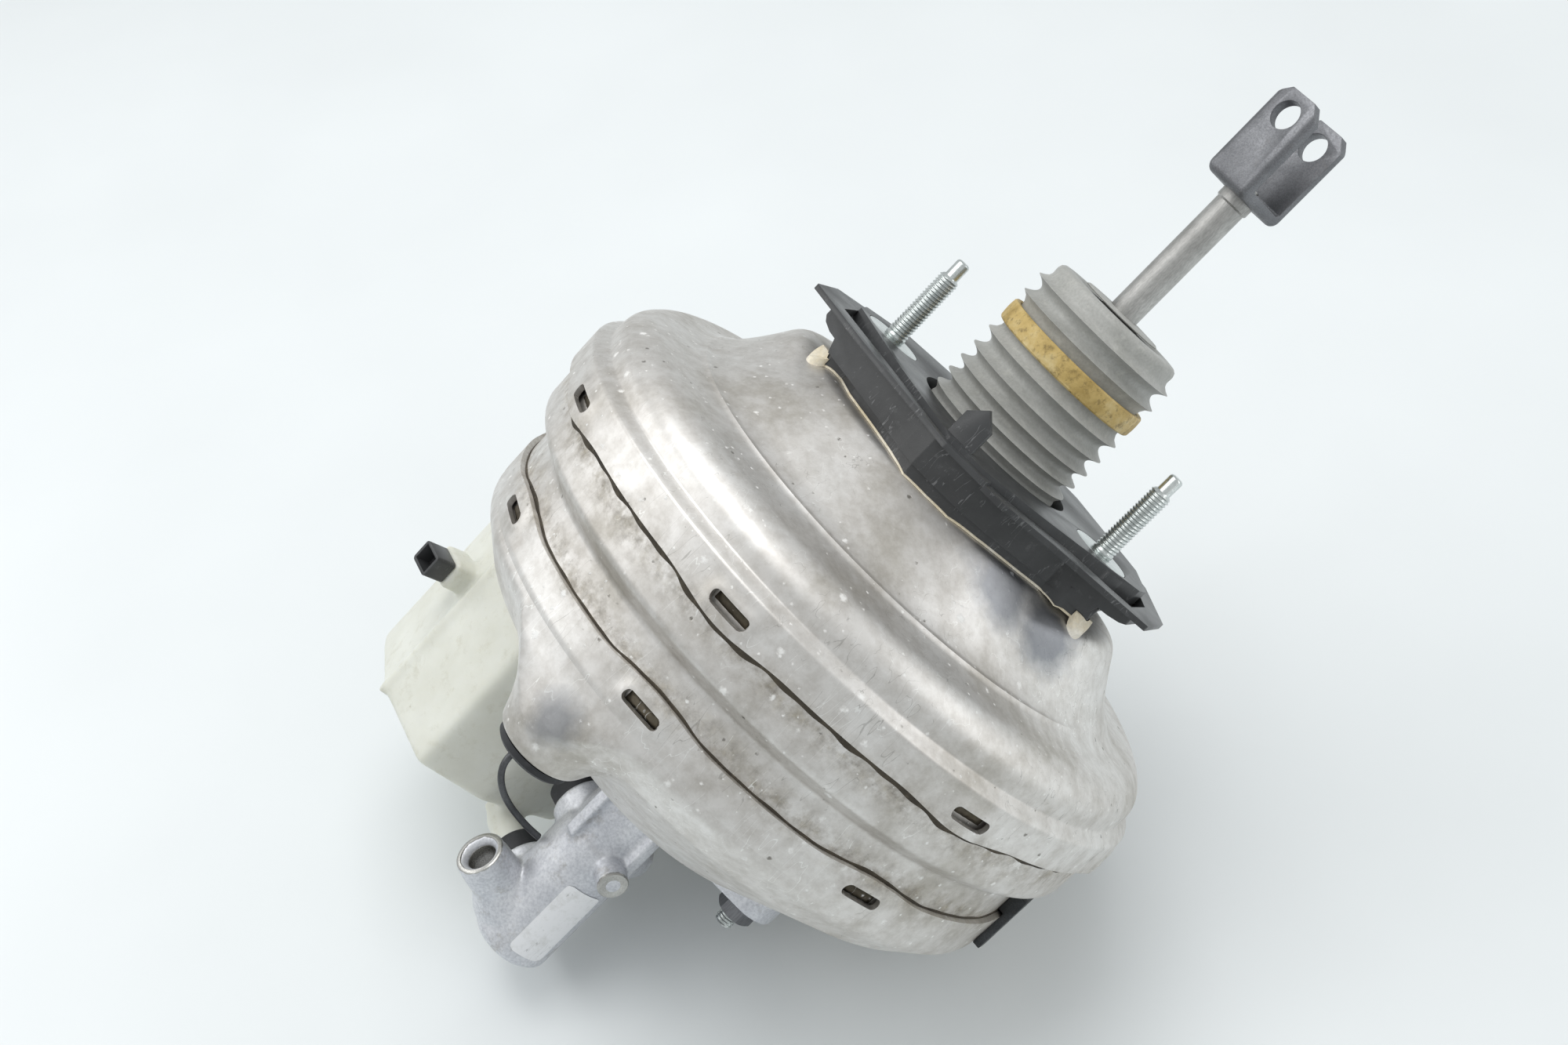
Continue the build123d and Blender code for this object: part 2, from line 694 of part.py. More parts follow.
def make_clevis():
    half_gap = clevis_gap / 2
    outer = half_gap + clevis_ear
    block = Pos((clevis_base_x + clevis_end_x) / 2, 0, 0) * Box(
        clevis_end_x - clevis_base_x, 2 * outer, clevis_width)
    back = block.edges().filter_by(Axis.Z).group_by(Axis.X)[0]
    block = fillet(back, 3.4)
    ears = block.edges().filter_by(Axis.Y).group_by(Axis.X)
    block = chamfer(ears[-1], clevis_chamfer)
    heel = block.edges().filter_by(Axis.Y).group_by(Axis.X)[0]
    block = fillet(heel, 2.5)
    slot_start = clevis_base_x + clevis_ear
    slot = Pos((slot_start + clevis_end_x) / 2 + 1.0, 0, 0) * Box(
        clevis_end_x - slot_start + 2.0, clevis_gap, clevis_width + 2.0)
    slot = fillet(slot.edges().filter_by(Axis.Z).group_by(Axis.X)[0], 1.2)
    hole = Pos(clevis_hole_x, 0, 0) * Rot(90, 0, 0) * Cylinder(clevis_hole_radius, 3 * outer)
    return block - slot - hole - rod_x(clevis_base_x - 1.0, slot_start + 1.0, rivet_radius)


# ---- power piston, its plates and diaphragms ----
def make_power_piston():
    outline = [
        (hub_rear_x, hub_bore_radius),
        (hub_rear_x, hub_radius),
        (rear_plate_x - plate_wall, hub_radius),
        (rear_plate_x - plate_wall, hub_radius + 4.0),
        (rear_plate_x - plate_wall - 3.0, hub_radius + 4.0),
        (rear_plate_x - plate_wall - 3.0, hub_radius),
        (spring_flange_x, hub_radius),
        (spring_flange_x, spring_flange_radius),
        (spring_flange_x - 4.0, spring_flange_radius),
        (spring_flange_x - 4.0, hub_radius - 1.0),
        (hub_front_x, hub_radius - 1.0),
        (hub_front_x, disc_radius + 0.1),
        (hub_recess_x, disc_radius + 0.1),
        (hub_recess_x, plunger_radius + running_gap),
        (plunger_rear_x - 6.0, plunger_radius + running_gap),
        (plunger_rear_x - 6.0, hub_bore_radius),
    ]
    body = turned(outline)
    # cross slot for the stop key
    slot = Box(key_thickness + 0.2, 3 * hub_radius, key_width + 0.2)
    return body - Pos(key_x, 0, 0) * slot


def make_rear_plate():
    line = [
        (rear_plate_x, hub_radius + 0.05),
        (rear_plate_x, stud_circle_radius + 12.5),
        (rear_plate_x - 20.0, plate_edge_radius - 8.0),
        (rear_plate_x - 22.0, plate_edge_radius),
    ]
    disc = pressed(line, [7.0, 2.0], plate_wall)
    return disc - tie_holes(rear_plate_x - 6.0, rear_plate_x + 2.0, shank_radius + running_gap)


def make_front_plate():
    line = [
        (front_plate_x, hub_radius + 0.05),
        (front_plate_x, front_plate_edge_radius - 16.0),
        (front_plate_x - 5.0, front_plate_edge_radius),
    ]
    disc = pressed(line, [6.0], plate_wall)
    return disc - tie_holes(front_plate_x - 4.0, front_plate_x + 2.0, shank_radius + running_gap)


def make_rear_diaphragm():
    rim_x = rear_plate_x - 22.0
    clamp_x = centre_start_x + 1.7
    line = [
        (rim_x + 4.9, plate_edge_radius - 9.0),
        (rim_x + 2.0, plate_edge_radius + 1.5),
        (rim_x - 4.0, plate_edge_radius + 8.0),
        (clamp_x, shell_radius - 7.0),
        (clamp_x, shell_radius - 0.4),
    ]
    bead = ring_x(clamp_x - 0.2, clamp_x - 4.3, shell_radius - wall - 0.2, shell_radius - 5.5)
    return pressed(line, [3.0, 4.0, 2.0], rubber_wall) + bead


def make_front_diaphragm():
    rim_x = front_plate_x - 5.0
    clamp_x = centre_end_x - 0.7
    line = [
        (rim_x + 3.9, front_plate_edge_radius - 6.0),
        (rim_x + 1.7, front_plate_edge_radius + 2.0),
        (rim_x - 2.0, front_plate_edge_radius + 10.0),
        (clamp_x, front_plate_edge_radius + 18.0),
        (clamp_x, centre_inner_radius - 0.4),
    ]
    return pressed(line, [3.0, 4.0, 2.0], rubber_wall)


def make_plunger():
    """Valve piston that carries the input rod's ball."""
    body = rod_x(plunger_front_x, plunger_rear_x, plunger_radius)
    body = body + rod_x(plunger_rear_x - 4.0, plunger_rear_x, plunger_lip_radius)
    socket = turned([
        (ball_cup_end_x - 0.2, 0.0),
        (ball_cup_end_x - 0.2, ball_cup_radius + running_gap),
        (ball_cup_mouth_x + 0.1, ball_cup_radius + running_gap),
        (ball_cup_mouth_x + 0.1, 6.6),
        (plunger_rear_x + 0.1, 7.6),
        (plunger_rear_x + 0.1, 0.0),
    ])
    half = key_thickness / 2
    groove = ring_x(key_x - half - 0.1, key_x + half + valve_stroke + 0.2, plunger_radius + 1.0, key_core)
    return body - socket - groove


def make_ball_cup():
    """Liner between the rod's ball and the valve piston."""
    body = rod_x(ball_cup_end_x, ball_cup_mouth_x, ball_cup_radius)
    body = body - Pos(rod_ball_x, 0, 0) * Sphere(rod_ball_radius + 0.08)
    return body - rod_x(rod_ball_x + 3.0, ball_cup_mouth_x + 1.0, rod_neck_radius + 1.0)


def make_stop_key():
    """Forked key through the hub that limits the valve piston's travel."""
    reach = sqrt(hub_radius ** 2 - (key_width / 2) ** 2) - 0.4
    bar = Box(key_thickness, 2 * reach, key_width)
    fork = Pos(0, 6.0, 0) * Box(key_thickness + 2.0, 2 * reach, 2 * key_core + 0.6)
    return Pos(key_x, 0, 0) * (bar - fork)


def make_poppet():
    """Rubber valve that seals on the hub and on the valve piston."""
    start = plunger_rear_x + 0.1
    outer = hub_bore_radius - 0.4
    return turned([
        (start, 9.0),
        (start, outer),
        (start + 2.8, outer),
        (start + 2.8, outer - 2.0),
        (retainer_x - 3.0, outer - 2.0),
        (retainer_x - 3.0, hub_bore_radius - 0.1),
        (retainer_x - 0.1, hub_bore_radius - 0.1),
        (retainer_x - 0.1, outer - 3.4),
        (start + 4.2, outer - 3.4),
        (start + 4.2, 9.0),
    ])


def make_poppet_retainer():
    """Pressed ring that holds the rubber valve in the hub and seats the rod spring."""
    return ring_x(retainer_x, retainer_x + 1.5, hub_bore_radius - 0.05, 8.6)


def make_spring_seat():
    """Washer against the rod's shoulder that carries the rod spring."""
    return ring_x(rod_shoulder_x - 1.2, rod_shoulder_x, 11.4, rod_radius + 0.05)


def make_rod_spring():
    return coil(rod_shoulder_x - 1.3, retainer_x + 1.6, 9.9, 1.5, 4)


def make_return_spring():
    start = spring_flange_x - 4.1
    return coil(start, front_pad_x + wall + 0.1, 24.2, return_wire, return_coils)


def make_air_filter():
    """Felt ring in the back of the hub."""
    return ring_x(hub_rear_x - 10.0, hub_rear_x - 22.0, hub_bore_radius - 0.1, 10.2)


def make_reaction_disc():
    return rod_x(hub_recess_x, hub_recess_x - reaction_disc_thickness, disc_radius)


def make_output_rod():
    head_x = hub_recess_x - reaction_disc_thickness
    body = rod_x(head_x, head_x - 4.0, disc_radius)
    body = body + rod_x(head_x - 4.0, primary_x - output_reach, output_rod_radius)
    tip = body.edges().filter_by(GeomType.CIRCLE).group_by(Axis.X)[0]
    return fillet(tip, 2.5)


def make_neck_seal():
    inner = neck_radius - wall
    return turned([
        (neck_end_x - 2.0, hub_radius + running_gap),
        (neck_end_x - 2.0, inner - 0.05),
        (pad_x + 3.5, inner - 0.05),
        (pad_x + 3.5, inner - 1.2),
        (pad_x + 6.0, hub_radius + running_gap),
    ])


# ---- master cylinder ----
def outlet_frame(root, direction):
    """Plane at a line outlet's root, Z running out of the outlet."""
    return Plane(origin=root, z_dir=direction)


def front_outlet():
    return outlet_frame(front_port_root, front_port_direction)


def rear_outlet():
    return outlet_frame(rear_port_root, rear_port_direction)


def outlet_boss(place, reach):
    post = extrude(place * Circle(line_boss_radius + 1.4), reach - 4.0, taper=2.0)
    return post + extrude(place * Circle(line_boss_radius), reach)


def outlet_drilling(place, reach):
    hole = Pos(0, 0, reach - line_port_depth) * extrude(Circle(line_port_radius), line_port_depth + 1.0)
    mouth = Pos(0, 0, reach - 2.0) * extrude(Circle(line_port_radius), 2.5, taper=-38.0)
    feed = extrude(Pos(0, 0, 4.0) * Circle(1.5), reach - line_port_depth - 3.0)
    return place * (hole + mouth + feed)


def make_master_body():
    body = rod_x(snout_end_x, front_pad_x, snout_radius)
    body = body + rod_x(front_pad_x, collar_step_x, rear_section_radius)
    front = rod_x(collar_step_x + 4.0, cylinder_end_x, cylinder_radius)
    ends = front.edges().filter_by(GeomType.CIRCLE).group_by(Axis.X)
    front = fillet(ends[-1], 5.0)
    front = chamfer(front.edges().filter_by(GeomType.CIRCLE).group_by(Axis.X)[0], 3.0)
    body = body + front
    body = body + master_flange()
    for x in foot_xs:
        body = body + Pos(x, 0, grommet_seat_z / 2) * Cylinder(grommet_radius + 2.4, grommet_seat_z)
    bridge = Pos((foot_xs[0] + foot_xs[1]) / 2, 0, 10.0) * Box(foot_xs[0] - foot_xs[1], 12.0, 14.0)
    body = body + bridge
    rib_length = flange_face_x - collar_step_x + 1.0
    rib_middle = (flange_face_x + collar_step_x) / 2
    for turn in (0.0, 90.0, 180.0, 270.0):
        rib = Pos(rib_middle, 0, rear_section_radius + 0.5) * Box(rib_length, 5.0, 7.0)
        body = body + Rot(turn, 0, 0) * rib
    body = body + outlet_boss(front_outlet(), front_port_reach)
    body = body + outlet_boss(rear_outlet(), rear_port_reach)
    plug = Rot(plug_angle - 90.0, 0, 0) * Cylinder(
        plug_radius, plug_reach, align=(Align.CENTER, Align.CENTER, Align.MIN))
    body = body + Pos(plug_x, 0, 0) * plug
    body = body - rod_x(snout_end_x + 1.0, bore_end_x, bore_radius)
    body = body - rod_x(stop_ring_x + stop_ring_thickness / 2, stop_ring_x - stop_ring_thickness / 2,
                        stop_ring_outer)
    for x in foot_xs:
        seat = Pos(x, 0, grommet_seat_z - 3.0) * Cylinder(grommet_radius - 1.5, 6.1)
        body = body - seat - gallery(x)
    body = body - outlet_drilling(front_outlet(), front_port_reach)
    body = body - outlet_drilling(rear_outlet(), rear_port_reach)
    return body


def gallery(foot_x):
    """Slanted drilling from a grommet seat down to the bore, towards the booster."""
    start = Vector(foot_x - 4.0, 0, grommet_seat_z - 1.2)
    end = Vector(foot_x + gallery_lead, 0, bore_radius - 1.0)
    run = end - start
    return extrude(Plane(origin=start, z_dir=run) * Circle(1.2), run.length)


def master_flange():
    """Two-lobed flange on the tie bolts."""
    centre = Circle(snout_radius + 5.0)
    lobes = [Pos(s * stud_circle_radius, 0) * Circle(flange_lobe_radius) for s in (-1, 1)]
    outline = make_hull((centre + lobes[0] + lobes[1]).edges())
    plate = prism(outline, flange_face_x, front_pad_x)
    return plate - tie_holes(flange_face_x - 1.0, front_pad_x + 1.0, shank_radius + flange_bolt_gap)


def make_stop_ring():
    """Circlip that keeps the primary piston in its bore."""
    half = stop_ring_thickness / 2 - 0.1
    return ring_x(stop_ring_x + half, stop_ring_x - half, stop_ring_outer - 0.1, bore_radius - 2.0)


def piston(rear_x, length, grooves):
    """A piston with seal grooves."""
    body = rod_x(rear_x, rear_x - length, bore_radius - 0.05)
    for groove in grooves:
        start = rear_x - groove
        body = body - ring_x(start, start - seal_width, bore_radius + 1.0, bore_radius - seal_depth)
    return body


def make_primary_piston():
    body = piston(primary_x, primary_length, [primary_groove])
    return body - rod_x(primary_x + 1.0, primary_x - output_socket_depth, output_rod_radius + 0.4)


def make_secondary_piston():
    """The rear land is turned down so that fluid reaches the rear outlet."""
    body = piston(secondary_x, secondary_length, secondary_grooves)
    land_end = secondary_x - secondary_grooves[0] + 0.8
    return body - ring_x(secondary_x + 1.0, land_end, bore_radius + 1.0, bore_radius - 1.6)


def make_cup(rear_x, groove_at):
    """Rubber lip seal in a piston's groove."""
    start = rear_x - groove_at - 0.1
    end = rear_x - groove_at - seal_width + 0.1
    return ring_x(start, end, bore_radius - 0.02, bore_radius - seal_depth + 0.1)


def make_piston_spring(rear_x, front_x):
    return coil(rear_x - 0.1, front_x + 0.1, bore_radius - 3.0, piston_wire, piston_coils)


def make_snout_ring():
    """O-ring that seals the cylinder to the front shell."""
    x = front_pad_x + wall + 1.3
    section = Pos(x, snout_radius + 1.3, 0) * Circle(1.2)
    return revolve(section, Axis.X, 360.0)


# ---- reservoir ----
def dome_x(radius):
    """Station where the front shell's cone has this radius."""
    (outer_x, outer), (inner_x, inner) = front_line[3:5]
    return inner_x + (outer_x - inner_x) * (radius - inner) / (outer - inner)


tank_rear_x = dome_x(tank_seam_z + 2.0) - tank_dome_gap


def tank_section(inset):
    """Cross-section of the tank: upright sides, a roof drawn in above the seam."""
    half = tank_half_width - inset
    top = tank_top_half_width - inset
    low = tank_bottom_z + inset
    high = tank_top_z - inset
    points = [(-half + tank_bevel, low), (half - tank_bevel, low), (half, low + tank_bevel_rise),
              (half, tank_seam_z),
              (top + 5.0, high - 9.0), (top, high), (-top, high), (-top - 5.0, high - 9.0),
              (-half, tank_seam_z), (-half, low + tank_bevel_rise)]
    return fillet(make_face(Polyline(*points, close=True)).vertices(), 3.0)


def tank_block(inset):
    """The tank along X, its lower back cut away to clear the booster's dome."""
    front = tank_front_x + inset
    rear = tank_rear_x - inset
    block = extrude(Pos(front, 0, 0) * (Plane.YZ * tank_section(inset)), rear - front)
    foot = front_pad_x - tank_flat_gap - inset
    slope = Polyline((rear + 1.0, tank_seam_z + 2.0 + inset), (foot, tank_bottom_z - 1.0 + inset),
                     (rear + 1.0, tank_bottom_z - 1.0 + inset), close=True)
    wedge = extrude(Plane.XZ * make_face(slope), tank_half_width + 5.0, both=True)
    length = rear - tank_pocket_x + 2 * inset + 5.0
    top = tank_pocket_top_z + inset
    pocket = Pos(tank_pocket_x - inset + length / 2, 0, top - 25.0) * Box(
        length, 2 * (tank_pocket_half_width + inset), 50.0)
    return block - wedge - pocket


def make_reservoir():
    body = tank_block(0.0) - tank_block(tank_wall)
    seam = prism_yz(offset(tank_section(0.0), amount=1.6), tank_front_x - 1.6, tank_rear_x + 1.6)
    slab = Pos((tank_front_x + tank_rear_x) / 2, 0, tank_seam_z) * Box(200.0, 200.0, 2.4)
    body = body + ((seam & slab) - tank_block(tank_wall))
    for x in foot_xs:
        foot = Pos(x, 0, (tank_bottom_z + grommet_seat_z) / 2 - 1.0) * Cylinder(
            foot_radius, tank_bottom_z - grommet_seat_z + 4.0)
        body = body + (foot - tank_block(tank_wall)) if tank_front_x < x else body + foot_arm(x)
    bores = [Pos(x, 0, grommet_seat_z + 9.0) * Cylinder(foot_bore_radius, 30.0) for x in foot_xs]
    body = body - bores[0] - bores[1]
    neck_bottom = tank_top_z - 1.0
    neck = Pos(cap_x, cap_y, neck_bottom) * Cylinder(
        filler_radius, cap_height - 2.1, align=(Align.CENTER, Align.CENTER, Align.MIN))
    neck_hole = Pos(cap_x, cap_y, neck_bottom - 4.0) * Cylinder(
        filler_radius - 2.0, cap_height + 6.0, align=(Align.CENTER, Align.CENTER, Align.MIN))
    body = body + neck - neck_hole
    socket = Pos(sensor_x, -tank_half_width - 2.0, sensor_z) * Box(12.0, 12.0, 14.0)
    catch = Pos(foot_xs[0] + 7.0, 0, grommet_seat_z + 9.7) * Box(8.0, 12.0, 2.5)
    return body + (socket - tank_block(tank_wall)) + catch


def foot_arm(x):
    """Front foot: a hollow arm under the tank's nose."""
    arm = Pos(x, 0, (tank_bottom_z + grommet_seat_z) / 2 + 1.0) * Cylinder(
        foot_radius, tank_bottom_z - grommet_seat_z + 8.0)
    length = tank_front_x - x + 10.0
    link = Pos((x + tank_front_x) / 2 + 3.0, 0, tank_bottom_z + 5.0) * Box(length, 13.0, 10.0)
    return arm + (link - tank_block(tank_wall))


def prism_yz(face, start_x, end_x):
    return extrude(Pos(start_x, 0, 0) * (Plane.YZ * face), end_x - start_x)


def make_sensor_plug():
    """Black connector of the fluid level sensor, on the tank's side."""
    start_y = -tank_half_width - 8.1
    middle_y = start_y - sensor_depth / 2
    shroud = Pos(sensor_x, middle_y, sensor_z) * Box(sensor_width, sensor_depth, sensor_width + 1.5)
    shroud = fillet(shroud.edges().filter_by(Axis.Y), 1.5)
    hollow = Box(sensor_width - 2.4, sensor_depth, sensor_width - 0.9)
    hollow = Pos(sensor_x, middle_y - 2.0, sensor_z) * hollow
    return shroud - hollow


def make_reservoir_grommet(x):
    ring = Pos(x, 0, (grommet_seat_z + grommet_top_z) / 2) * Cylinder(
        grommet_radius, grommet_top_z - grommet_seat_z)
    plug = Pos(x, 0, grommet_seat_z - 1.2) * Cylinder(grommet_radius - 1.6, 3.4)
    bore = Pos(x, 0, grommet_seat_z) * Cylinder(foot_radius + 0.05, 40.0)
    return ring + plug - bore


def make_reservoir_clip():
    """Spring wire bail that holds the reservoir's rear foot down."""
    foot_x = foot_xs[0]
    half = [
        (foot_x - 15.0, -12.8, grommet_seat_z - 6.8),
        (foot_x - 6.0, -36.0, grommet_seat_z + 3.0),
        (foot_x + 8.0, -40.0, grommet_seat_z + 6.0),
        (foot_x + 9.7, -20.0, grommet_seat_z + 12.5),
    ]
    other = [(x, -y, z) for x, y, z in reversed(half)]
    line = FilletPolyline(*(half + other), radius=[6.0, 5.0, 4.0, 4.0, 5.0, 6.0])
    start = Plane(origin=line @ 0, z_dir=line % 0)
    return sweep(start * Circle(bail_wire / 2), path=line)


def make_filler_cap():
    body = Pos(cap_x, cap_y, tank_top_z + 1.0) * Cylinder(
        cap_radius, cap_height, align=(Align.CENTER, Align.CENTER, Align.MIN))
    body = fillet(body.edges().filter_by(GeomType.CIRCLE).group_by(Axis.Z)[-1], 2.0)
    hollow = Pos(cap_x, cap_y, tank_top_z) * Cylinder(
        filler_radius + 0.4, cap_height - 1.0, align=(Align.CENTER, Align.CENTER, Align.MIN))
    body = body - hollow
    rib = Box(1.6, 1.6, cap_height - 4.0, align=(Align.CENTER, Align.CENTER, Align.MIN))
    for i in range(cap_ribs):
        turn = Rot(0, 0, 360.0 / cap_ribs * i)
        body = body - Pos(cap_x, cap_y, tank_top_z) * turn * Pos(cap_radius + 0.2, 0, 0) * rib
    return body


def make_cap_seal():
    """Flat rubber ring and bellows cup under the cap."""
    z = tank_top_z + cap_height - 1.0 - 1.05
    ring = Pos(cap_x, cap_y, z) * Cylinder(filler_radius - 0.2, 1.9)
    cup = Pos(cap_x, cap_y, z - 4.0) * Cylinder(filler_radius - 2.6, 6.5)
    hollow = Pos(cap_x, cap_y, z - 2.0) * Cylinder(filler_radius - 4.2, 8.0)
    return ring + cup - hollow


def build_all():
    upper, lower = stud_angles
    snug = {
        "rear_shell": make_rear_shell(),
        "centre_shell": make_centre_shell(),
        "centre_wall": make_centre_wall(),
        "centre_seal": make_centre_seal(),
        "front_shell": make_front_shell(),
        "vacuum_grommet": make_vacuum_grommet(),
        "shell_clip": make_shell_clip(),
        "bulkhead_frame": make_frame(),
        "frame_gasket": make_gasket(),
        "collar_upper": make_collar(upper),
        "collar_lower": make_collar(lower),
        "tie_bolt_upper": make_tie_bolt(upper),
        "tie_bolt_lower": make_tie_bolt(lower),
        "front_nut_upper": make_nut(upper),
        "front_nut_lower": make_nut(lower),
        "boot": make_boot(),
        "boot_band": make_boot_band(),
        "input_rod": make_input_rod(),
        "clevis": make_clevis(),
        "power_piston": make_power_piston(),
        "rear_plate": make_rear_plate(),
        "front_plate": make_front_plate(),
        "rear_diaphragm": make_rear_diaphragm(),
        "front_diaphragm": make_front_diaphragm(),
        "return_spring": make_return_spring(),
        "valve_plunger": make_plunger(),
        "ball_cup": make_ball_cup(),
        "stop_key": make_stop_key(),
        "valve_poppet": make_poppet(),
        "poppet_retainer": make_poppet_retainer(),
        "rod_spring": make_rod_spring(),
        "spring_seat": make_spring_seat(),
        "air_filter": make_air_filter(),
        "reaction_disc": make_reaction_disc(),
        "output_rod": make_output_rod(),
        "neck_seal": make_neck_seal(),
        "master_body": make_master_body(),
        "stop_ring": make_stop_ring(),
        "primary_piston": make_primary_piston(),
        "primary_cup": make_cup(primary_x, primary_groove),
        "primary_spring": make_piston_spring(primary_x - primary_length, secondary_x),
        "secondary_piston": make_secondary_piston(),
        "secondary_rear_cup": make_cup(secondary_x, secondary_grooves[0]),
        "secondary_front_cup": make_cup(secondary_x, secondary_grooves[1]),
        "secondary_spring": make_piston_spring(secondary_x - secondary_length, bore_end_x),
        "snout_ring": make_snout_ring(),
        "reservoir": make_reservoir(),
        "sensor_plug": make_sensor_plug(),
        "reservoir_grommet_rear": make_reservoir_grommet(foot_xs[0]),
        "reservoir_grommet_front": make_reservoir_grommet(foot_xs[1]),
        "reservoir_clip": make_reservoir_clip(),
        "filler_cap": make_filler_cap(),
        "cap_seal": make_cap_seal(),
    }
    return snug


os.makedirs("parts", exist_ok=True)
for name, shape in build_all().items():
    export_step(shape, f"parts/{name}.step")
    print(name, round(shape.volume / 1000, 2), "cm3")
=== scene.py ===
# %% [markdown]
# # A vacuum brake booster with its master cylinder
# This lesson dresses a imported CAD model. The CAD frame says where every part is and how it moves.
# Blender adds what the eye needs: pressed sheet with lapped edges, rolled threads, moulded
# rubber, cast metal, and a finish for each part.
# We first load the frame.

# %% Load the frame
import json
import math
import bmesh
import bpy
import numpy as np
from mathutils import Matrix, Vector


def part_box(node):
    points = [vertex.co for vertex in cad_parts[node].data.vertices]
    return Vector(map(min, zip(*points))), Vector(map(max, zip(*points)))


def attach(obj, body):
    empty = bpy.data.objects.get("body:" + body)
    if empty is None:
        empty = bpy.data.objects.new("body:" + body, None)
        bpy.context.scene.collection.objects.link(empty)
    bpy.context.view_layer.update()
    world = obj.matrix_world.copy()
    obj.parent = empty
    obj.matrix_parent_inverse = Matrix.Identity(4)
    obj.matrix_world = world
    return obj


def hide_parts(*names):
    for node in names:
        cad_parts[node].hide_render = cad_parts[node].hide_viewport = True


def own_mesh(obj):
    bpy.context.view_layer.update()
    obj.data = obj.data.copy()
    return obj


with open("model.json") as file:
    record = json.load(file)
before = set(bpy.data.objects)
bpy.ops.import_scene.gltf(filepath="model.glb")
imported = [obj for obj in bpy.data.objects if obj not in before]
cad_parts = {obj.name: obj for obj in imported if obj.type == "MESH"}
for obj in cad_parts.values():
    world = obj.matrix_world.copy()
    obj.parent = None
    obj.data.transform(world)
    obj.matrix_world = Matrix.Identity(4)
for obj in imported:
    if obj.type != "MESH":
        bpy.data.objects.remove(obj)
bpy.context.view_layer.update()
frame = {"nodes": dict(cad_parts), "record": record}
print("nodes in the frame:", len(frame["nodes"]))

# %% [markdown]
# Sizes are easier to think of in millimetres, and Blender counts in metres, so one constant
# turns one into the other. Round parts share the booster's axis, which is the frame's X.

# %% Units
MM = 0.001


def span(node):
    """The lowest and highest corner of a CAD node in millimetres."""
    low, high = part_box(node)
    return np.array(low) / MM, np.array(high) / MM


shell_low, shell_high = span("rear_shell")
print("rear shell from", shell_low.round(1), "to", shell_high.round(1))

# %% [markdown]
# ## Colours and nodes
# Colours are easiest to judge as the hex codes that a paint program shows. A shader needs linear
# light instead, so one function converts them. One more function adds a shader node: it takes the
# kind of node, what to plug into its sockets, and its settings, and gives one of its outputs. Every
# material below is made of calls to it.

# %% Colour and node helpers


def srgb(code):
    """Linear RGBA from a hex colour such as '#c8c4bb'."""
    parts = [int(code[i:i + 2], 16) / 255 for i in (1, 3, 5)]
    linear = [p / 12.92 if p <= 0.04045 else ((p + 0.055) / 1.055) ** 2.4 for p in parts]
    return (*linear, 1.0)


def add(tree, kind, inputs=None, output=0, stops=(), **settings):
    """Adds one shader node with its settings and links, and gives one of its outputs."""
    node = tree.nodes.new("ShaderNode" + kind)
    for name, value in settings.items():
        setattr(node, name, value)
    for name, value in (inputs or {}).items():
        if isinstance(value, bpy.types.NodeSocket):
            tree.links.new(value, node.inputs[name])
        else:
            node.inputs[name].default_value = value
    for number, (position, shade) in enumerate(stops):
        marks = node.color_ramp.elements
        mark = marks[number] if number < 2 else marks.new(position)
        mark.position, mark.color = position, srgb(shade)
    return node.outputs[output] if node.outputs else node


def new_material(name):
    """An empty material, its node tree, and each point's place in metres."""
    material = bpy.data.materials.new(name)
    material.use_nodes = True
    tree = material.node_tree
    tree.nodes.clear()
    return material, tree, add(tree, "TexCoord", output="Object")


def per_mm(size):
    """A texture scale whose blotches are about that many millimetres across."""
    return 1 / (size * MM)


OVER = {"data_type": "RGBA", "output": 2}
TINTED = {"data_type": "RGBA", "output": 2, "blend_type": "MULTIPLY"}
print("helpers ready; white is", tuple(round(part, 2) for part in srgb("#ffffff")))

# %% [markdown]
# ## The camera
# The part lies on a table and is seen from its lower left, looking up its length. A camera is set
# by where it stands, which way it looks and which way is up for it. Both directions are written
# in the part's own frame, and the lens is a 44 mm one on a 36 mm wide sensor.

# %% Camera
CAMERA_PLACE = Vector((0.0877, -0.5205, -0.3909))
CAMERA_LOOKS = Vector((-0.23692, 0.746522, 0.621751))
CAMERA_UP = Vector((0.698377, -0.314026, 0.643162))
LENS_MM = 44.35

camera_data = bpy.data.cameras.new("camera")
camera_data.lens = LENS_MM
camera_data.sensor_width = 36.0
camera_data.clip_start = 0.01
camera = bpy.data.objects.new("camera", camera_data)
bpy.context.collection.objects.link(camera)
camera_right = CAMERA_LOOKS.cross(CAMERA_UP).normalized()
camera.matrix_world = Matrix.Translation(CAMERA_PLACE) @ Matrix((
    (camera_right.x, CAMERA_UP.x, -CAMERA_LOOKS.x, 0),
    (camera_right.y, CAMERA_UP.y, -CAMERA_LOOKS.y, 0),
    (camera_right.z, CAMERA_UP.z, -CAMERA_LOOKS.z, 0),
    (0, 0, 0, 1)))
bpy.context.scene.camera = camera
print("camera", LENS_MM, "mm lens at", tuple(round(v, 3) for v in CAMERA_PLACE))

# %% [markdown]
# ## The table
# Loose on a table, the part tips until three points of it touch. Those three points span a facet
# of its convex hull, so we build the hull and take the facet that faces the table.
# The table is one-sided: seen from below it is clear, so it never hides the part.

# %% Table
TABLE_UP = Vector((0.595, -0.79, -0.14)).normalized()
TABLE_HALF = 6.0
TABLE_GAP = 0.2 * MM        # keeps the sheet clear of the points that rest on it

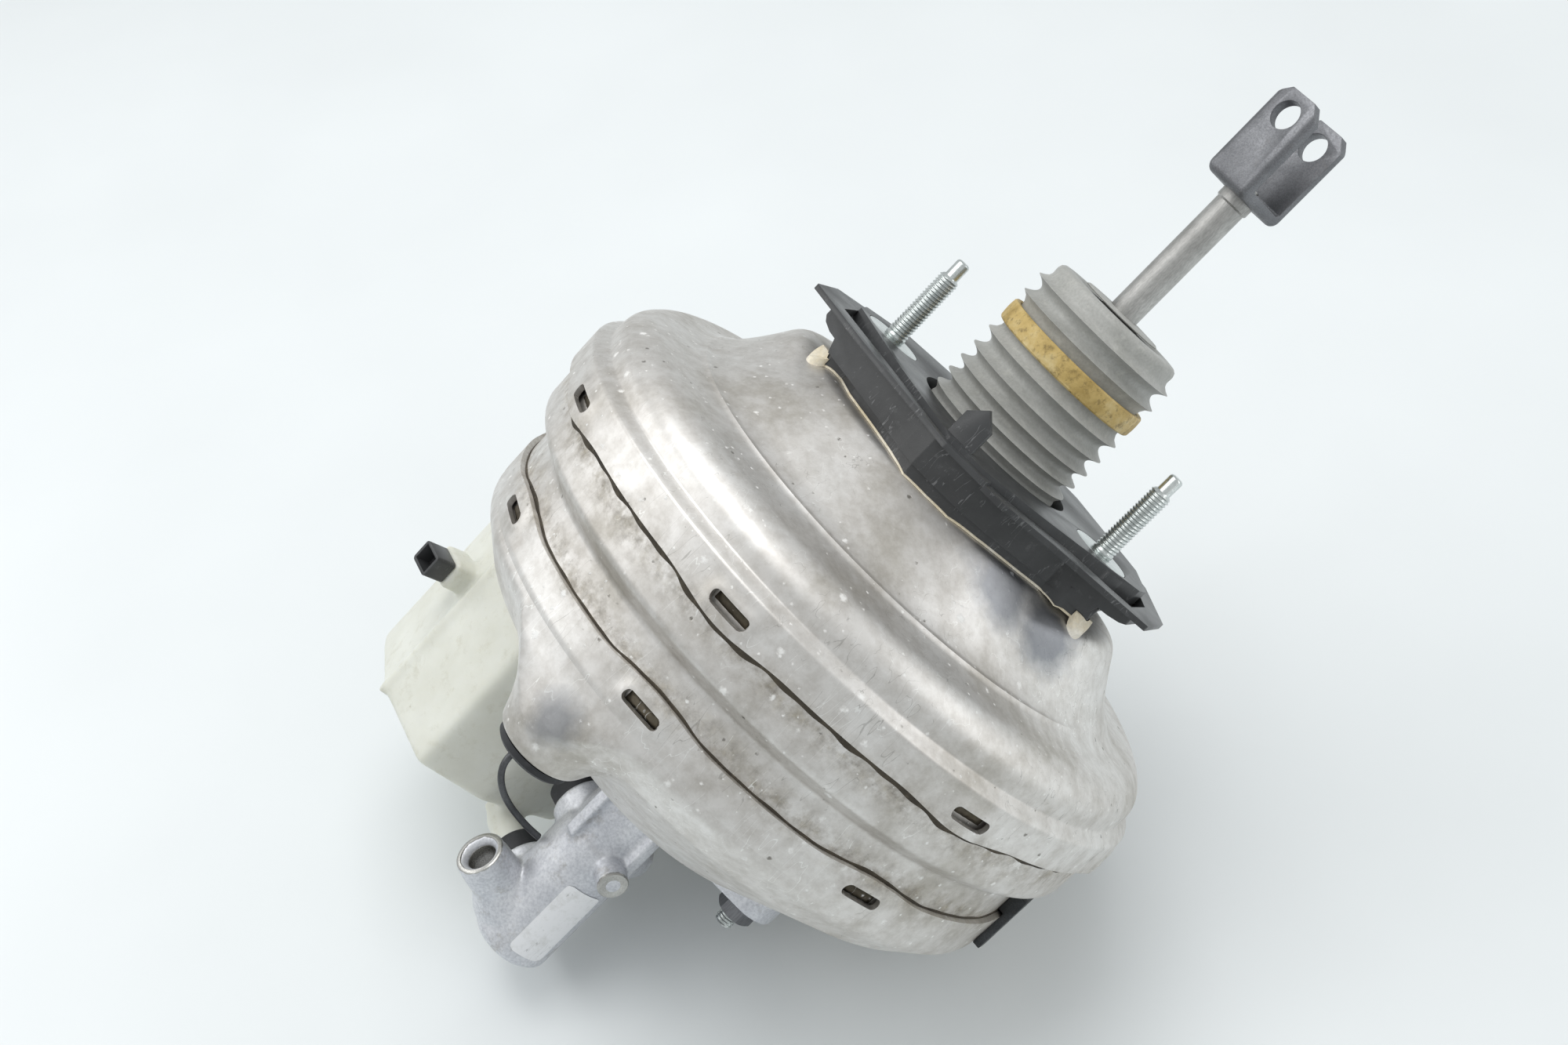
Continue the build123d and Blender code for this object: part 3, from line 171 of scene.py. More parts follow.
hull = bmesh.new()
for item in frame["nodes"].values():
    for vertex in item.data.vertices:
        hull.verts.new(vertex.co)
bmesh.ops.convex_hull(hull, input=hull.verts)
hull.normal_update()
best = max(hull.faces, key=lambda face: face.calc_area() ** 0.25 * face.normal.dot(-TABLE_UP) ** 8
           if face.normal.dot(-TABLE_UP) > 0 else 0)
rest_up = -best.normal.copy()
rest_point = best.calc_center_median()
print("table tilt from the first guess:", round(math.degrees(rest_up.angle(TABLE_UP)), 1), "degrees",
      tuple(round(v, 3) for v in rest_up), round(best.calc_area() * 1e6), "mm2")
hull.free()


def pale_floor():
    """A wide sheet under the part, clear from behind so that a view from below still shows it."""
    mesh = bpy.data.meshes.new("table")
    across = rest_up.orthogonal().normalized()
    along = rest_up.cross(across)
    middle = rest_point - rest_up * TABLE_GAP
    corners = [middle + TABLE_HALF * (a * across + b * along)
               for a, b in ((-1, -1), (1, -1), (1, 1), (-1, 1))]
    mesh.from_pydata(corners, [], [(0, 1, 2, 3)])
    table = bpy.data.objects.new("table", mesh)
    bpy.context.collection.objects.link(table)
    material, tree, place = new_material("painted_table")
    mottle = add(tree, "TexNoise", {"Vector": place, "Scale": per_mm(180), "Detail": 3.0})
    colour = add(tree, "ValToRGB", {"Fac": mottle}, stops=[(0.3, "#e2e6e7"), (0.7, "#e7ebec")])
    paint = add(tree, "BsdfPrincipled", {"Base Color": colour, "Roughness": 0.34})
    clear = add(tree, "BsdfTransparent")
    behind = add(tree, "NewGeometry", output="Backfacing")
    add(tree, "OutputMaterial", {"Surface": add(tree, "MixShader", {0: behind, 1: paint, 2: clear})})
    mesh.materials.append(material)


pale_floor()

# %% [markdown]
# ## Light
# A white tent lights the part from all sides, and one large soft lamp above the table gives the
# direction. Two strip lamps draw long soft highlights over the round shells.

# %% Light
PART_MIDDLE = Vector((-0.08, 0.0, 0.0))
LAMP_DISTANCE = 1.3


def soft_lamp(name, direction, width, height, watts):
    """An area lamp that looks at the middle of the part."""
    data = bpy.data.lights.new(name, "AREA")
    data.shape = "RECTANGLE"
    data.size = width
    data.size_y = height
    data.energy = watts
    lamp = bpy.data.objects.new(name, data)
    bpy.context.collection.objects.link(lamp)
    lamp.location = PART_MIDDLE + direction.normalized() * LAMP_DISTANCE
    lamp.rotation_mode = "QUATERNION"
    lamp.rotation_quaternion = direction.to_track_quat("Z", "Y")


soft_lamp("lamp_above", rest_up * 1.0 + CAMERA_UP * 0.35 - camera_right * 0.05, 1.0, 1.0, 8.5)
soft_lamp("lamp_left", rest_up * 0.35 - camera_right * 1.0 + CAMERA_UP * 0.35, 0.4, 1.4, 3.4)
soft_lamp("lamp_right", rest_up * 0.5 + camera_right * 1.0 - CAMERA_UP * 0.2, 0.4, 1.2, 2.6)

world = bpy.data.worlds.new("tent")
bpy.context.scene.world = world
world.use_nodes = True
tent = world.node_tree.nodes["Background"]
tent.inputs["Color"].default_value = srgb("#f3f6f7")
tent.inputs["Strength"].default_value = 0.73
bpy.context.scene.view_settings.view_transform = "Standard"
print("three lamps and a tent")

# %% [markdown]
# ## Spots, scratches and grime
# Bare parts from an engine bay are never even. Four kinds of mark turn up on many of them: cloudy
# blotches, small ragged spots of spatter or pitting, long thin scratches, and grime that gathers
# beside a joint. Each is a mask from 0 to 1 that a material can use for its colour, roughness or
# relief.

# %% Marks


def blotches(tree, place, size_mm, low, high, amount):
    """0 where a rough noise is under low, rising to amount at high."""
    field = add(tree, "TexNoise", {
        "Vector": place, "Scale": per_mm(size_mm), "Detail": 6.0, "Roughness": 0.72})
    return add(tree, "MapRange", {
        "Value": field, "From Min": low, "From Max": high, "To Max": amount})


def spots(tree, place, spacing_mm, dot_mm, share):
    """Ragged spots of up to dot_mm, most of them small, in the given share of the cells."""
    cells = {"Vector": place, "Scale": per_mm(spacing_mm)}
    chance = add(tree, "TexVoronoi", cells, output="Color")
    distance = add(tree, "TexVoronoi", cells, output="Distance")
    reach = dot_mm / 2 / spacing_mm
    even = add(tree, "Math", {0: chance, 1: 1 / share}, operation="MULTIPLY")
    size = add(tree, "Math", {0: even, 1: 2.0}, operation="POWER")
    edge = add(tree, "TexNoise", {
        "Vector": place, "Scale": per_mm(dot_mm / 3), "Detail": 3.0, "Roughness": 0.6})
    uneven = add(tree, "Math", {0: edge, 1: 1.6, 2: size}, operation="MULTIPLY_ADD")
    gap = add(tree, "Math", {0: uneven, 1: -reach, 2: distance}, operation="MULTIPLY_ADD")
    gap = add(tree, "Math", {0: gap, 1: 0.8 * reach}, operation="ADD")
    dot = add(tree, "MapRange", {
        "Value": gap, "From Min": -0.4 * reach, "From Max": 0.15 * reach,
        "To Min": 1.0, "To Max": 0.0})
    held = add(tree, "Math", {0: chance, 1: share}, operation="LESS_THAN")
    return add(tree, "Math", {0: dot, 1: held}, operation="MULTIPLY")


def scratches(tree, place, length_mm, width_mm, turn, amount):
    """Thin lines where a long-drawn noise crosses its middle value, broken up along their length."""
    turned = add(tree, "Mapping", {"Vector": place, "Rotation": turn, "Scale": (0.25, 1.6, 1.6)})
    field = add(tree, "TexNoise", {
        "Vector": turned, "Scale": per_mm(length_mm / 6), "Detail": 2.0, "Roughness": 0.4})
    line = add(tree, "Math", {0: field, 1: 0.5, 2: 0.5 * width_mm / length_mm}, operation="COMPARE")
    broken = blotches(tree, place, length_mm * 0.8, 0.52, 0.56, amount)
    return add(tree, "Math", {0: line, 1: broken}, operation="MULTIPLY")


def beside(tree, place, stations_mm, reach_mm):
    """1 at given stations along the booster's axis, fading to 0 at reach_mm from them."""
    x = add(tree, "SeparateXYZ", {"Vector": place}, output="X")
    total = 0.0
    for station in stations_mm:
        offset = add(tree, "Math", {0: x, 1: station * MM}, operation="SUBTRACT")
        away = add(tree, "Math", {0: offset}, operation="ABSOLUTE")
        near = add(tree, "MapRange", {
            "Value": away, "From Max": reach_mm * MM, "To Min": 1.0, "To Max": 0.0})
        total = add(tree, "Math", {0: near, 1: total}, operation="MAXIMUM")
    return total


def smeared(tree, place, middle_mm, reach_mm, amount):
    """A patch with a ragged edge round a point, at full strength in its middle."""
    middle = tuple(part * MM for part in middle_mm)
    away = add(tree, "VectorMath", {0: place, 1: middle}, output="Value", operation="DISTANCE")
    reach = reach_mm * MM
    ragged = add(tree, "TexNoise", {
        "Vector": place, "Scale": per_mm(16), "Detail": 6.0, "Roughness": 0.65})
    edge = add(tree, "Math", {0: ragged, 1: reach, 2: away}, operation="MULTIPLY_ADD")
    return add(tree, "MapRange", {
        "Value": edge, "From Min": 0.9 * reach, "From Max": 1.5 * reach,
        "To Min": amount, "To Max": 0.0})


print("marks ready")

# %% [markdown]
# ## Pressed aluminium
# The three shells are aluminium sheet, deep drawn in a press and left bare. Such a skin is satin:
# it spreads a lamp into a wide soft glow. Years of damp leave cloudy stains, dull white oxide
# specks and dark pits, and handling leaves thin scratches. It is a metal, so its colour tints what
# it reflects and its refractive index stays at the default. Oxide is no metal, so the metal share
# drops on a speck. Salt and dust dry in a narrow belt along each lap, and a few patches are
# darker and glossier than the rest.

# %% Pressed aluminium
LAP_STATIONS = (-79.0, -106.5)      # along the axis in mm, on the inner sheet just past each skirt
# patches where the sheet is darker and glossier
DARK_GLOSSY_PATCHES = [((-24.0, -26.0, -61.0), 19.0, 0.75), ((-25.0, -6.0, -70.0), 19.0, 0.8),
                ((-138.0, -109.0, -37.0), 12.0, 0.6)]      # middle and reach in mm, amount


def pressed_aluminium(name, pale, dull, stained, grimy, lap_stations):
    """Drawn sheet: stains of 45 mm, mottling of 6 mm, specks and pits near 1 mm, scratches."""
    material, tree, place = new_material(name)
    clouds = add(tree, "TexNoise", {
        "Vector": place, "Scale": per_mm(45), "Detail": 7.0, "Roughness": 0.68})
    mottle = add(tree, "TexNoise", {
        "Vector": place, "Scale": per_mm(6), "Detail": 5.0, "Roughness": 0.7})
    colour = add(tree, "ValToRGB", {"Fac": clouds},
                 stops=[(0.36, stained), (0.48, dull), (0.62, pale)])
    fine = add(tree, "ValToRGB", {"Fac": mottle}, stops=[(0.36, "#d3d0cb"), (0.6, "#ffffff")])
    colour = add(tree, "Mix", {0: 0.45, 6: colour, 7: fine}, **TINTED)
    belt = beside(tree, place, lap_stations, 8.0)
    dried = blotches(tree, place, 7.0, 0.42, 0.66, 0.75)
    dirt = add(tree, "Math", {0: belt, 1: dried}, operation="MULTIPLY")
    shade = add(tree, "TexNoise", {
        "Vector": place, "Scale": per_mm(3), "Detail": 4.0, "Roughness": 0.7})
    soil = add(tree, "ValToRGB", {"Fac": shade}, stops=[(0.35, "#6f675a"), (0.65, grimy)])
    colour = add(tree, "Mix", {0: dirt, 6: colour, 7: soil}, **OVER)
    # darker, glossier patches
    dark_gloss = 0.0
    for middle, reach, amount in DARK_GLOSSY_PATCHES:
        patch = smeared(tree, place, middle, reach, amount)
        dark_gloss = add(tree, "Math", {0: patch, 1: dark_gloss}, operation="MAXIMUM")
    pits = spots(tree, place, 6.0, 1.6, 0.55)
    specks = spots(tree, place, 8.0, 3.0, 0.6)
    dust = spots(tree, place, 3.2, 1.3, 0.8)
    white = add(tree, "Math", {0: specks, 1: dust}, operation="MAXIMUM")
    thick = add(tree, "MapRange", {
        "Value": beside(tree, place, lap_stations, 26.0), "To Min": 0.7})
    white = add(tree, "Math", {0: white, 1: thick}, operation="MULTIPLY")
    light = scratches(tree, place, 60.0, 0.35, (0.4, 0.3, 0.9), 0.75)
    dark = scratches(tree, place, 50.0, 0.35, (1.1, 0.2, 0.3), 0.35)
    sunk = add(tree, "Math", {0: pits, 1: 0.75}, operation="MULTIPLY")
    crust = add(tree, "Math", {0: white, 1: 0.8}, operation="MULTIPLY")
    for mask, code in ((sunk, "#6b675f"), (dark, "#7d7a74"), (crust, "#f7f7f5"),
                       (light, "#f2f2ef"), (dark_gloss, "#7f838b")):
        colour = add(tree, "Mix", {0: mask, 6: colour, 7: srgb(code)}, **OVER)
    matt = add(tree, "Math", {0: dirt, 1: white}, operation="MAXIMUM")
    metal = add(tree, "MapRange", {"Value": matt, "To Min": 1.0, "To Max": 0.25})
    satin = add(tree, "MapRange", {
        "Value": clouds, "From Min": 0.35, "From Max": 0.65, "To Min": 0.54, "To Max": 0.44})
    rough = add(tree, "Math", {0: matt, 1: 0.3, 2: satin}, operation="MULTIPLY_ADD")
    rough = add(tree, "Math", {0: dark_gloss, 1: -0.15, 2: rough}, operation="MULTIPLY_ADD")
    peel = add(tree, "TexNoise", {"Vector": place, "Scale": per_mm(1.3), "Detail": 3.0})
    skin = add(tree, "Bump", {"Height": peel, "Distance": 0.014 * MM})
    relief = add(tree, "Math", {0: white, 1: pits}, operation="SUBTRACT")
    skin = add(tree, "Bump", {"Height": relief, "Distance": 0.06 * MM, "Normal": skin})
    add(tree, "OutputMaterial", {"Surface": add(tree, "BsdfPrincipled", {
        "Base Color": colour, "Metallic": metal, "Roughness": rough, "Normal": skin})})
    return material


finish = {
    "shell_aluminium": pressed_aluminium(
        "drawn_aluminium", "#e4e2df", "#d9d6d2", "#c4c0b9", "#a89f8b", LAP_STATIONS),
}
print("pressed aluminium ready")

# %% [markdown]
# ## Cast aluminium
# The master cylinder is cast in a steel mould and only its bores and faces are machined. The skin
# is lighter and a little bluer than the sheet, with soft grains of about a millimetre that
# scatter the light, and brown stains where fluid ran down.

# %% Cast aluminium


def cast_aluminium():
    """Cast skin: clouds of 20 mm, grains of 1 mm, stains of 9 mm."""
    material, tree, place = new_material("cast_aluminium")
    clouds = add(tree, "TexNoise", {
        "Vector": place, "Scale": per_mm(20), "Detail": 5.0, "Roughness": 0.6})
    grain = add(tree, "TexNoise", {
        "Vector": place, "Scale": per_mm(1.1), "Detail": 4.0, "Roughness": 0.6})
    colour = add(tree, "ValToRGB", {"Fac": clouds}, stops=[(0.34, "#d0d2d7"), (0.66, "#e8e9ec")])
    fine = add(tree, "ValToRGB", {"Fac": grain}, stops=[(0.35, "#d2d3d6"), (0.62, "#ffffff")])
    colour = add(tree, "Mix", {0: 0.5, 6: colour, 7: fine}, **TINTED)
    stains = blotches(tree, place, 9.0, 0.56, 0.72, 0.5)
    colour = add(tree, "Mix", {0: stains, 6: colour, 7: srgb("#8b8272")}, **OVER)
    white = spots(tree, place, 7.0, 1.2, 0.35)
    colour = add(tree, "Mix", {0: white, 6: colour, 7: srgb("#e2e2e2")}, **OVER)
    rough = add(tree, "MapRange", {
        "Value": grain, "From Min": 0.3, "From Max": 0.7, "To Min": 0.62, "To Max": 0.48})
    coarse = add(tree, "TexNoise", {"Vector": place, "Scale": per_mm(3.2), "Detail": 3.0})
    skin = add(tree, "Bump", {"Height": coarse, "Distance": 0.09 * MM})
    skin = add(tree, "Bump", {"Height": grain, "Distance": 0.04 * MM, "Normal": skin})
    add(tree, "OutputMaterial", {"Surface": add(tree, "BsdfPrincipled", {
        "Base Color": colour, "Metallic": 0.85, "Roughness": rough, "Normal": skin})})
    return material


finish["cast_aluminium"] = cast_aluminium()
print("cast aluminium ready")

# %% [markdown]
# ## Moulded plastics
# The bulkhead frame, the cap and the connector are glass-filled nylon, moulded dark grey. The
# mould leaves a fine even grain, and handling leaves pale scuffs. The clamp band is the same kind
# of plastic in mustard, speckled by dirt in its grain. The tank is clear-ish polypropylene: light
# goes in and comes out again close by, which is why it looks waxy.

# %% Moulded plastics


def moulded_plastic(name, dark, light, scuff, roughness, wear):
    """Grain near 0.6 mm, clouds of 25 mm, and scuffs of 6 mm and scratches in a paler colour."""
    material, tree, place = new_material(name)
    clouds = add(tree, "TexNoise", {
        "Vector": place, "Scale": per_mm(25), "Detail": 5.0, "Roughness": 0.6})
    grain = add(tree, "TexNoise", {"Vector": place, "Scale": per_mm(0.6), "Detail": 3.0})
    colour = add(tree, "ValToRGB", {"Fac": clouds}, stops=[(0.3, dark), (0.7, light)])
    worn = blotches(tree, place, 6.0, 0.58, 0.72, wear)
    lines = scratches(tree, place, 18.0, 0.4, (0.2, 1.1, 0.5), wear + 0.2)
    dots = spots(tree, place, 6.0, 0.8, 0.3)
    flecks = add(tree, "Math", {0: dots, 1: wear + 0.25}, operation="MULTIPLY")
    marks = add(tree, "Math", {0: lines, 1: flecks}, operation="MAXIMUM")
    marks = add(tree, "Math", {0: marks, 1: worn}, operation="MAXIMUM")
    colour = add(tree, "Mix", {0: marks, 6: colour, 7: srgb(scuff)}, **OVER)
    even = add(tree, "MapRange", {
        "Value": clouds, "From Min": 0.3, "From Max": 0.7,
        "To Min": roughness + 0.08, "To Max": roughness - 0.06})
    rough = add(tree, "Math", {0: worn, 1: 0.3, 2: even}, operation="MULTIPLY_ADD")
    skin = add(tree, "Bump", {"Height": grain, "Distance": 0.02 * MM})
    add(tree, "OutputMaterial", {"Surface": add(tree, "BsdfPrincipled", {
        "Base Color": colour, "Roughness": rough, "IOR": 1.5, "Normal": skin})})
    return material


def band_plastic():
    """Mustard nylon with dark dirt specks near 0.8 mm and rubbed pale patches."""
    material, tree, place = new_material("mustard_nylon")
    clouds = add(tree, "TexNoise", {
        "Vector": place, "Scale": per_mm(9), "Detail": 5.0, "Roughness": 0.65})
    colour = add(tree, "ValToRGB", {"Fac": clouds},
                 stops=[(0.32, "#a68c4e"), (0.52, "#bfa566"), (0.72, "#cfbd8c")])
    dots = spots(tree, place, 2.6, 1.5, 0.6)
    specks = add(tree, "Math", {0: dots, 1: 0.65}, operation="MULTIPLY")
    grit = blotches(tree, place, 2.6, 0.52, 0.66, 0.6)
    marks = add(tree, "Math", {0: specks, 1: grit}, operation="MAXIMUM")
    colour = add(tree, "Mix", {0: marks, 6: colour, 7: srgb("#5c4b26")}, **OVER)
    rough = add(tree, "MapRange", {
        "Value": clouds, "From Min": 0.3, "From Max": 0.7, "To Min": 0.62, "To Max": 0.46})
    mould = add(tree, "TexNoise", {
        "Vector": place, "Scale": per_mm(0.9), "Detail": 4.0, "Roughness": 0.6})
    skin = add(tree, "Bump", {"Height": mould, "Distance": 0.05 * MM})
    add(tree, "OutputMaterial", {"Surface": add(tree, "BsdfPrincipled", {
        "Base Color": colour, "Roughness": rough, "IOR": 1.5, "Normal": skin})})
    return material


def tank_plastic():
    """Waxy ivory: a little light travels 4 mm under the skin. Clouds of 30 mm, faint mould grain."""
    material, tree, place = new_material("polypropylene_ivory")
    clouds = add(tree, "TexNoise", {
        "Vector": place, "Scale": per_mm(30), "Detail": 5.0, "Roughness": 0.6})
    colour = add(tree, "ValToRGB", {"Fac": clouds}, stops=[(0.3, "#d2d2c6"), (0.7, "#e2e3da")])
    dust = blotches(tree, place, 7.0, 0.54, 0.75, 0.4)
    colour = add(tree, "Mix", {0: dust, 6: colour, 7: srgb("#b0ab93")}, **OVER)
    dots = spots(tree, place, 8.0, 1.2, 0.3)
    flecks = add(tree, "Math", {0: dots, 1: 0.45}, operation="MULTIPLY")
    colour = add(tree, "Mix", {0: flecks, 6: colour, 7: srgb("#8e8668")}, **OVER)
    rough = add(tree, "MapRange", {
        "Value": clouds, "From Min": 0.3, "From Max": 0.7, "To Min": 0.48, "To Max": 0.36})
    grain = add(tree, "TexNoise", {"Vector": place, "Scale": per_mm(0.8), "Detail": 3.0})
    skin = add(tree, "Bump", {"Height": grain, "Distance": 0.02 * MM})
    add(tree, "OutputMaterial", {"Surface": add(tree, "BsdfPrincipled", {
        "Base Color": colour, "Roughness": rough, "IOR": 1.49, "Subsurface Weight": 0.4,
        "Subsurface Scale": 4 * MM, "Subsurface Radius": (1.0, 0.95, 0.8), "Normal": skin})})
    return material


finish["black_plastic"] = moulded_plastic(
    "glass_filled_nylon_black", "#2b2c2d", "#404142", "#8d8e8f", 0.36, 0.2)
finish["hub_plastic"] = moulded_plastic(
    "phenolic_moulding", "#232327", "#2f2f33", "#5b5b5e", 0.45, 0.1)
finish["nylon"] = moulded_plastic(
    "natural_nylon", "#d9d6ca", "#e8e6dc", "#b7b29e", 0.42, 0.1)
finish["band_plastic"] = band_plastic()
finish["tank_plastic"] = tank_plastic()
print("plastics ready")

# %% [markdown]
# ## Rubber, foam and felt
# The boot is grey rubber, matt, with a dusty bloom that gathers in patches. Seals are black rubber.
# The gasket is pale open foam gone tan with age, the filter a pressed felt, and the dark bead in the
# laps, grime and painted shade at once, is as dull as foam. None of these has a sharp highlight, so
# roughness stays high.

# %% Rubber, foam and felt


def moulded_rubber(name, dark, light, bloom, grain_mm, depth_mm, roughness):
    """Rubber or foam: clouds of 14 mm, a fine grain, a pale bloom in patches of 4 mm."""
    material, tree, place = new_material(name)
    clouds = add(tree, "TexNoise", {
        "Vector": place, "Scale": per_mm(14), "Detail": 5.0, "Roughness": 0.65})
    grain = add(tree, "TexNoise", {
        "Vector": place, "Scale": per_mm(grain_mm), "Detail": 4.0, "Roughness": 0.6})
    colour = add(tree, "ValToRGB", {"Fac": clouds}, stops=[(0.3, dark), (0.7, light)])
    dusty = blotches(tree, place, 4.0, 0.54, 0.74, 0.55)
    colour = add(tree, "Mix", {0: dusty, 6: colour, 7: srgb(bloom)}, **OVER)
    fine = add(tree, "ValToRGB", {"Fac": grain}, stops=[(0.35, "#cdcdcb"), (0.6, "#ffffff")])
    colour = add(tree, "Mix", {0: 0.35, 6: colour, 7: fine}, **TINTED)
    rough = add(tree, "MapRange", {
        "Value": clouds, "From Min": 0.3, "From Max": 0.7,
        "To Min": roughness + 0.06, "To Max": roughness - 0.06})
    skin = add(tree, "Bump", {"Height": grain, "Distance": depth_mm * MM})
    add(tree, "OutputMaterial", {"Surface": add(tree, "BsdfPrincipled", {
        "Base Color": colour, "Roughness": rough, "IOR": 1.52, "Normal": skin})})
    return material


finish["boot_rubber"] = moulded_rubber(
    "grey_rubber", "#999994", "#aeaeaa", "#c1c0b8", 0.9, 0.015, 0.5)
finish["black_rubber"] = moulded_rubber(
    "black_rubber", "#202124", "#2c2d30", "#4a4a4b", 0.8, 0.03, 0.6)
finish["gasket_foam"] = moulded_rubber(
    "aged_foam", "#d6c6a2", "#f0ece2", "#f0eee6", 1.2, 0.15, 0.85)
finish["felt"] = moulded_rubber(
    "pressed_felt", "#8f8a7c", "#b4ae9e", "#cac5b6", 1.0, 0.2, 0.95)
print("rubber, foam and felt ready")

# %% [markdown]
# ## Steel
# Studs, nuts and collars are zinc plated: bright, a little blue, and crisp in their highlights. The
# rod, the clevis and the springs are plain steel that was drawn or rolled, with brown specks where
# damp got at it. Drawn parts have fine lines along their length.

# %% Steel


def steel(name, dark, light, rust, roughness, lines=(1.0, 1.0, 1.0)):
    """Steel: clouds of 12 mm, fine drawing lines near 0.5 mm, specks and patches of rust."""
    material, tree, place = new_material(name)
    clouds = add(tree, "TexNoise", {
        "Vector": place, "Scale": per_mm(12), "Detail": 5.0, "Roughness": 0.6})
    drawn_out = add(tree, "Mapping", {"Vector": place, "Scale": lines})
    drawn = add(tree, "TexNoise", {
        "Vector": drawn_out, "Scale": per_mm(0.5), "Detail": 4.0, "Roughness": 0.6})
    colour = add(tree, "ValToRGB", {"Fac": clouds}, stops=[(0.3, dark), (0.7, light)])
    fine = add(tree, "ValToRGB", {"Fac": drawn}, stops=[(0.35, "#b4b4b4"), (0.62, "#ffffff")])
    colour = add(tree, "Mix", {0: 0.4, 6: colour, 7: fine}, **TINTED)
    dots = spots(tree, place, 4.0, 0.9, 0.35)
    specks = add(tree, "Math", {0: dots, 1: rust}, operation="MULTIPLY")
    patches = blotches(tree, place, 5.0, 0.58, 0.72, rust)
    rusty = add(tree, "Math", {0: specks, 1: patches}, operation="MAXIMUM")
    colour = add(tree, "Mix", {0: rusty, 6: colour, 7: srgb("#6b5b4b")}, **OVER)
    even = add(tree, "MapRange", {
        "Value": drawn, "From Min": 0.3, "From Max": 0.7,
        "To Min": roughness + 0.07, "To Max": roughness - 0.07})
    rough = add(tree, "Math", {0: rusty, 1: 0.3, 2: even}, operation="MULTIPLY_ADD")
    skin = add(tree, "Bump", {"Height": drawn, "Distance": 0.012 * MM})
    add(tree, "OutputMaterial", {"Surface": add(tree, "BsdfPrincipled", {
        "Base Color": colour, "Metallic": 1.0, "Roughness": rough, "Normal": skin})})
    return material


finish["zinc_steel"] = steel("zinc_plated_steel", "#c3c9c8", "#e4e8e6", 0.1, 0.28)
finish["dark_steel"] = steel("drawn_steel", "#717275", "#898a8d", 0.2, 0.5, (0.12, 1.0, 1.0))
finish["rod_steel"] = steel("ground_rod_steel", "#a5a4a1", "#c4c3c0", 0.12, 0.42, (0.25, 1.0, 1.0))
finish["forged_steel"] = steel("forged_fork_steel", "#76777a", "#8a8b8e", 0.12, 0.5)
finish["spring_steel"] = steel("oiled_spring_wire", "#4d4e50", "#6b6c6e", 0.2, 0.38)
finish["clip_steel"] = steel("phosphated_strip", "#3a3c3d", "#525456", 0.2, 0.5)
finish["inner_sheet"] = steel("phosphated_sheet", "#6d7072", "#888b8c", 0.15, 0.5)
finish["valve_metal"] = steel("turned_aluminium", "#adaca8", "#c9c8c4", 0.05, 0.3)
print("finishes:", ", ".join(sorted(finish)))

# %% [markdown]
# ## Dressing the CAD parts
# The record names a material slot for every node. Each node takes the finish made for its slot, and
# parts that get a better mesh later are hidden when their piece replaces them.

# %% Dress the nodes
slot_of = {entry["node"]: entry["material_slot"] for entry in frame["record"]["subparts"]}
bodies = frame["record"]["behaviour"]["bodies"]
body_of = {node: body for body, nodes in bodies.items() for node in nodes}
for node_name, item in frame["nodes"].items():
    item.material_slots[0].material = finish[slot_of[node_name]]
frame["nodes"]["input_rod"].material_slots[0].material = finish["rod_steel"]      # ground bright
print("dressed", len(slot_of), "nodes")

# %% [markdown]
# ## Turned surfaces
# Most of the booster is round about one axis, so its skins are grids: each row is a point of the
# side profile, turned through a full circle. The profile is a line of (x, radius) points in
# millimetres with rounded corners, so first we need a function that rounds and samples such a line.

# %% Rounded profile


def sampled(points, radii, step, arc_step=0.8):
    """Points along a line whose inner corners are rounded; step is the spacing on straight runs."""
    corners = [np.array(p, float) for p in points]
    line = [corners[0]]
    for before, here, after, radius in zip(corners, corners[1:], corners[2:], radii):
        back = (before - here) / np.linalg.norm(before - here)
        forth = (after - here) / np.linalg.norm(after - here)
        half = math.acos(np.clip(back @ forth, -1, 1)) / 2
        reach = radius / math.tan(half)
        middle = here + (back + forth) / np.linalg.norm(back + forth) * radius / math.sin(half)
        start, end = here + back * reach, here + forth * reach
        turn = math.pi - 2 * half
        count = max(3, int(radius * turn / arc_step) + 2)
        for share in np.linspace(0, 1, count):
            a = start - middle
            b = end - middle
            arm = (math.sin((1 - share) * turn) * a + math.sin(share * turn) * b) / math.sin(turn)
            line.append(middle + arm)
    line.append(corners[-1])
    dense = [line[0]]
    for first, second in zip(line, line[1:]):
        pieces = max(1, math.ceil(np.linalg.norm(second - first) / step))
        dense += [first + (second - first) * k / pieces for k in range(1, pieces + 1)]
    return np.array(dense)


def outward(profile):
    """The unit normal of each profile point, to the side away from the axis."""
    along = np.gradient(profile, axis=0)
    normal = np.stack([-along[:, 1], along[:, 0]], axis=1)
    normal /= np.linalg.norm(normal, axis=1)[:, None]
    return normal


print("profile tools ready")

# %% [markdown]
# ## Grids with openings
# A grid of points becomes quads. A cell with just one corner inside an opening keeps its other
# half, so the edge of the opening stays smooth, and a cell with more corners inside is dropped.
# The points near the edge have been pulled onto it beforehand.

# %% Grid mesh


def grid_faces(rows, columns, inside=None, on_edge=None):
    """Faces of a grid that closes round the axis, left out where inside is true."""
    nothing = np.zeros(rows * columns, bool)
    inside = nothing if inside is None else inside
    on_edge = nothing if on_edge is None else on_edge
    faces = []
    index = np.arange(rows * columns).reshape(rows, columns)
    for i in range(rows - 1):
        for j in range(columns):
            k = (j + 1) % columns
            corners = [index[i, j], index[i, k], index[i + 1, k], index[i + 1, j]]
            kept = [c for c in corners if not inside[c]]
            if len(kept) >= 3 and not all(on_edge[c] for c in kept):
                faces.append(kept)
    return faces


def strip_faces(rows, columns, first=0):
    """Faces of an open grid whose points start at number first."""
    faces = []
    for i in range(rows - 1):
        for j in range(columns - 1):
            corner = first + i * columns + j
            faces.append([corner, corner + 1, corner + 1 + columns, corner + columns])
    return faces


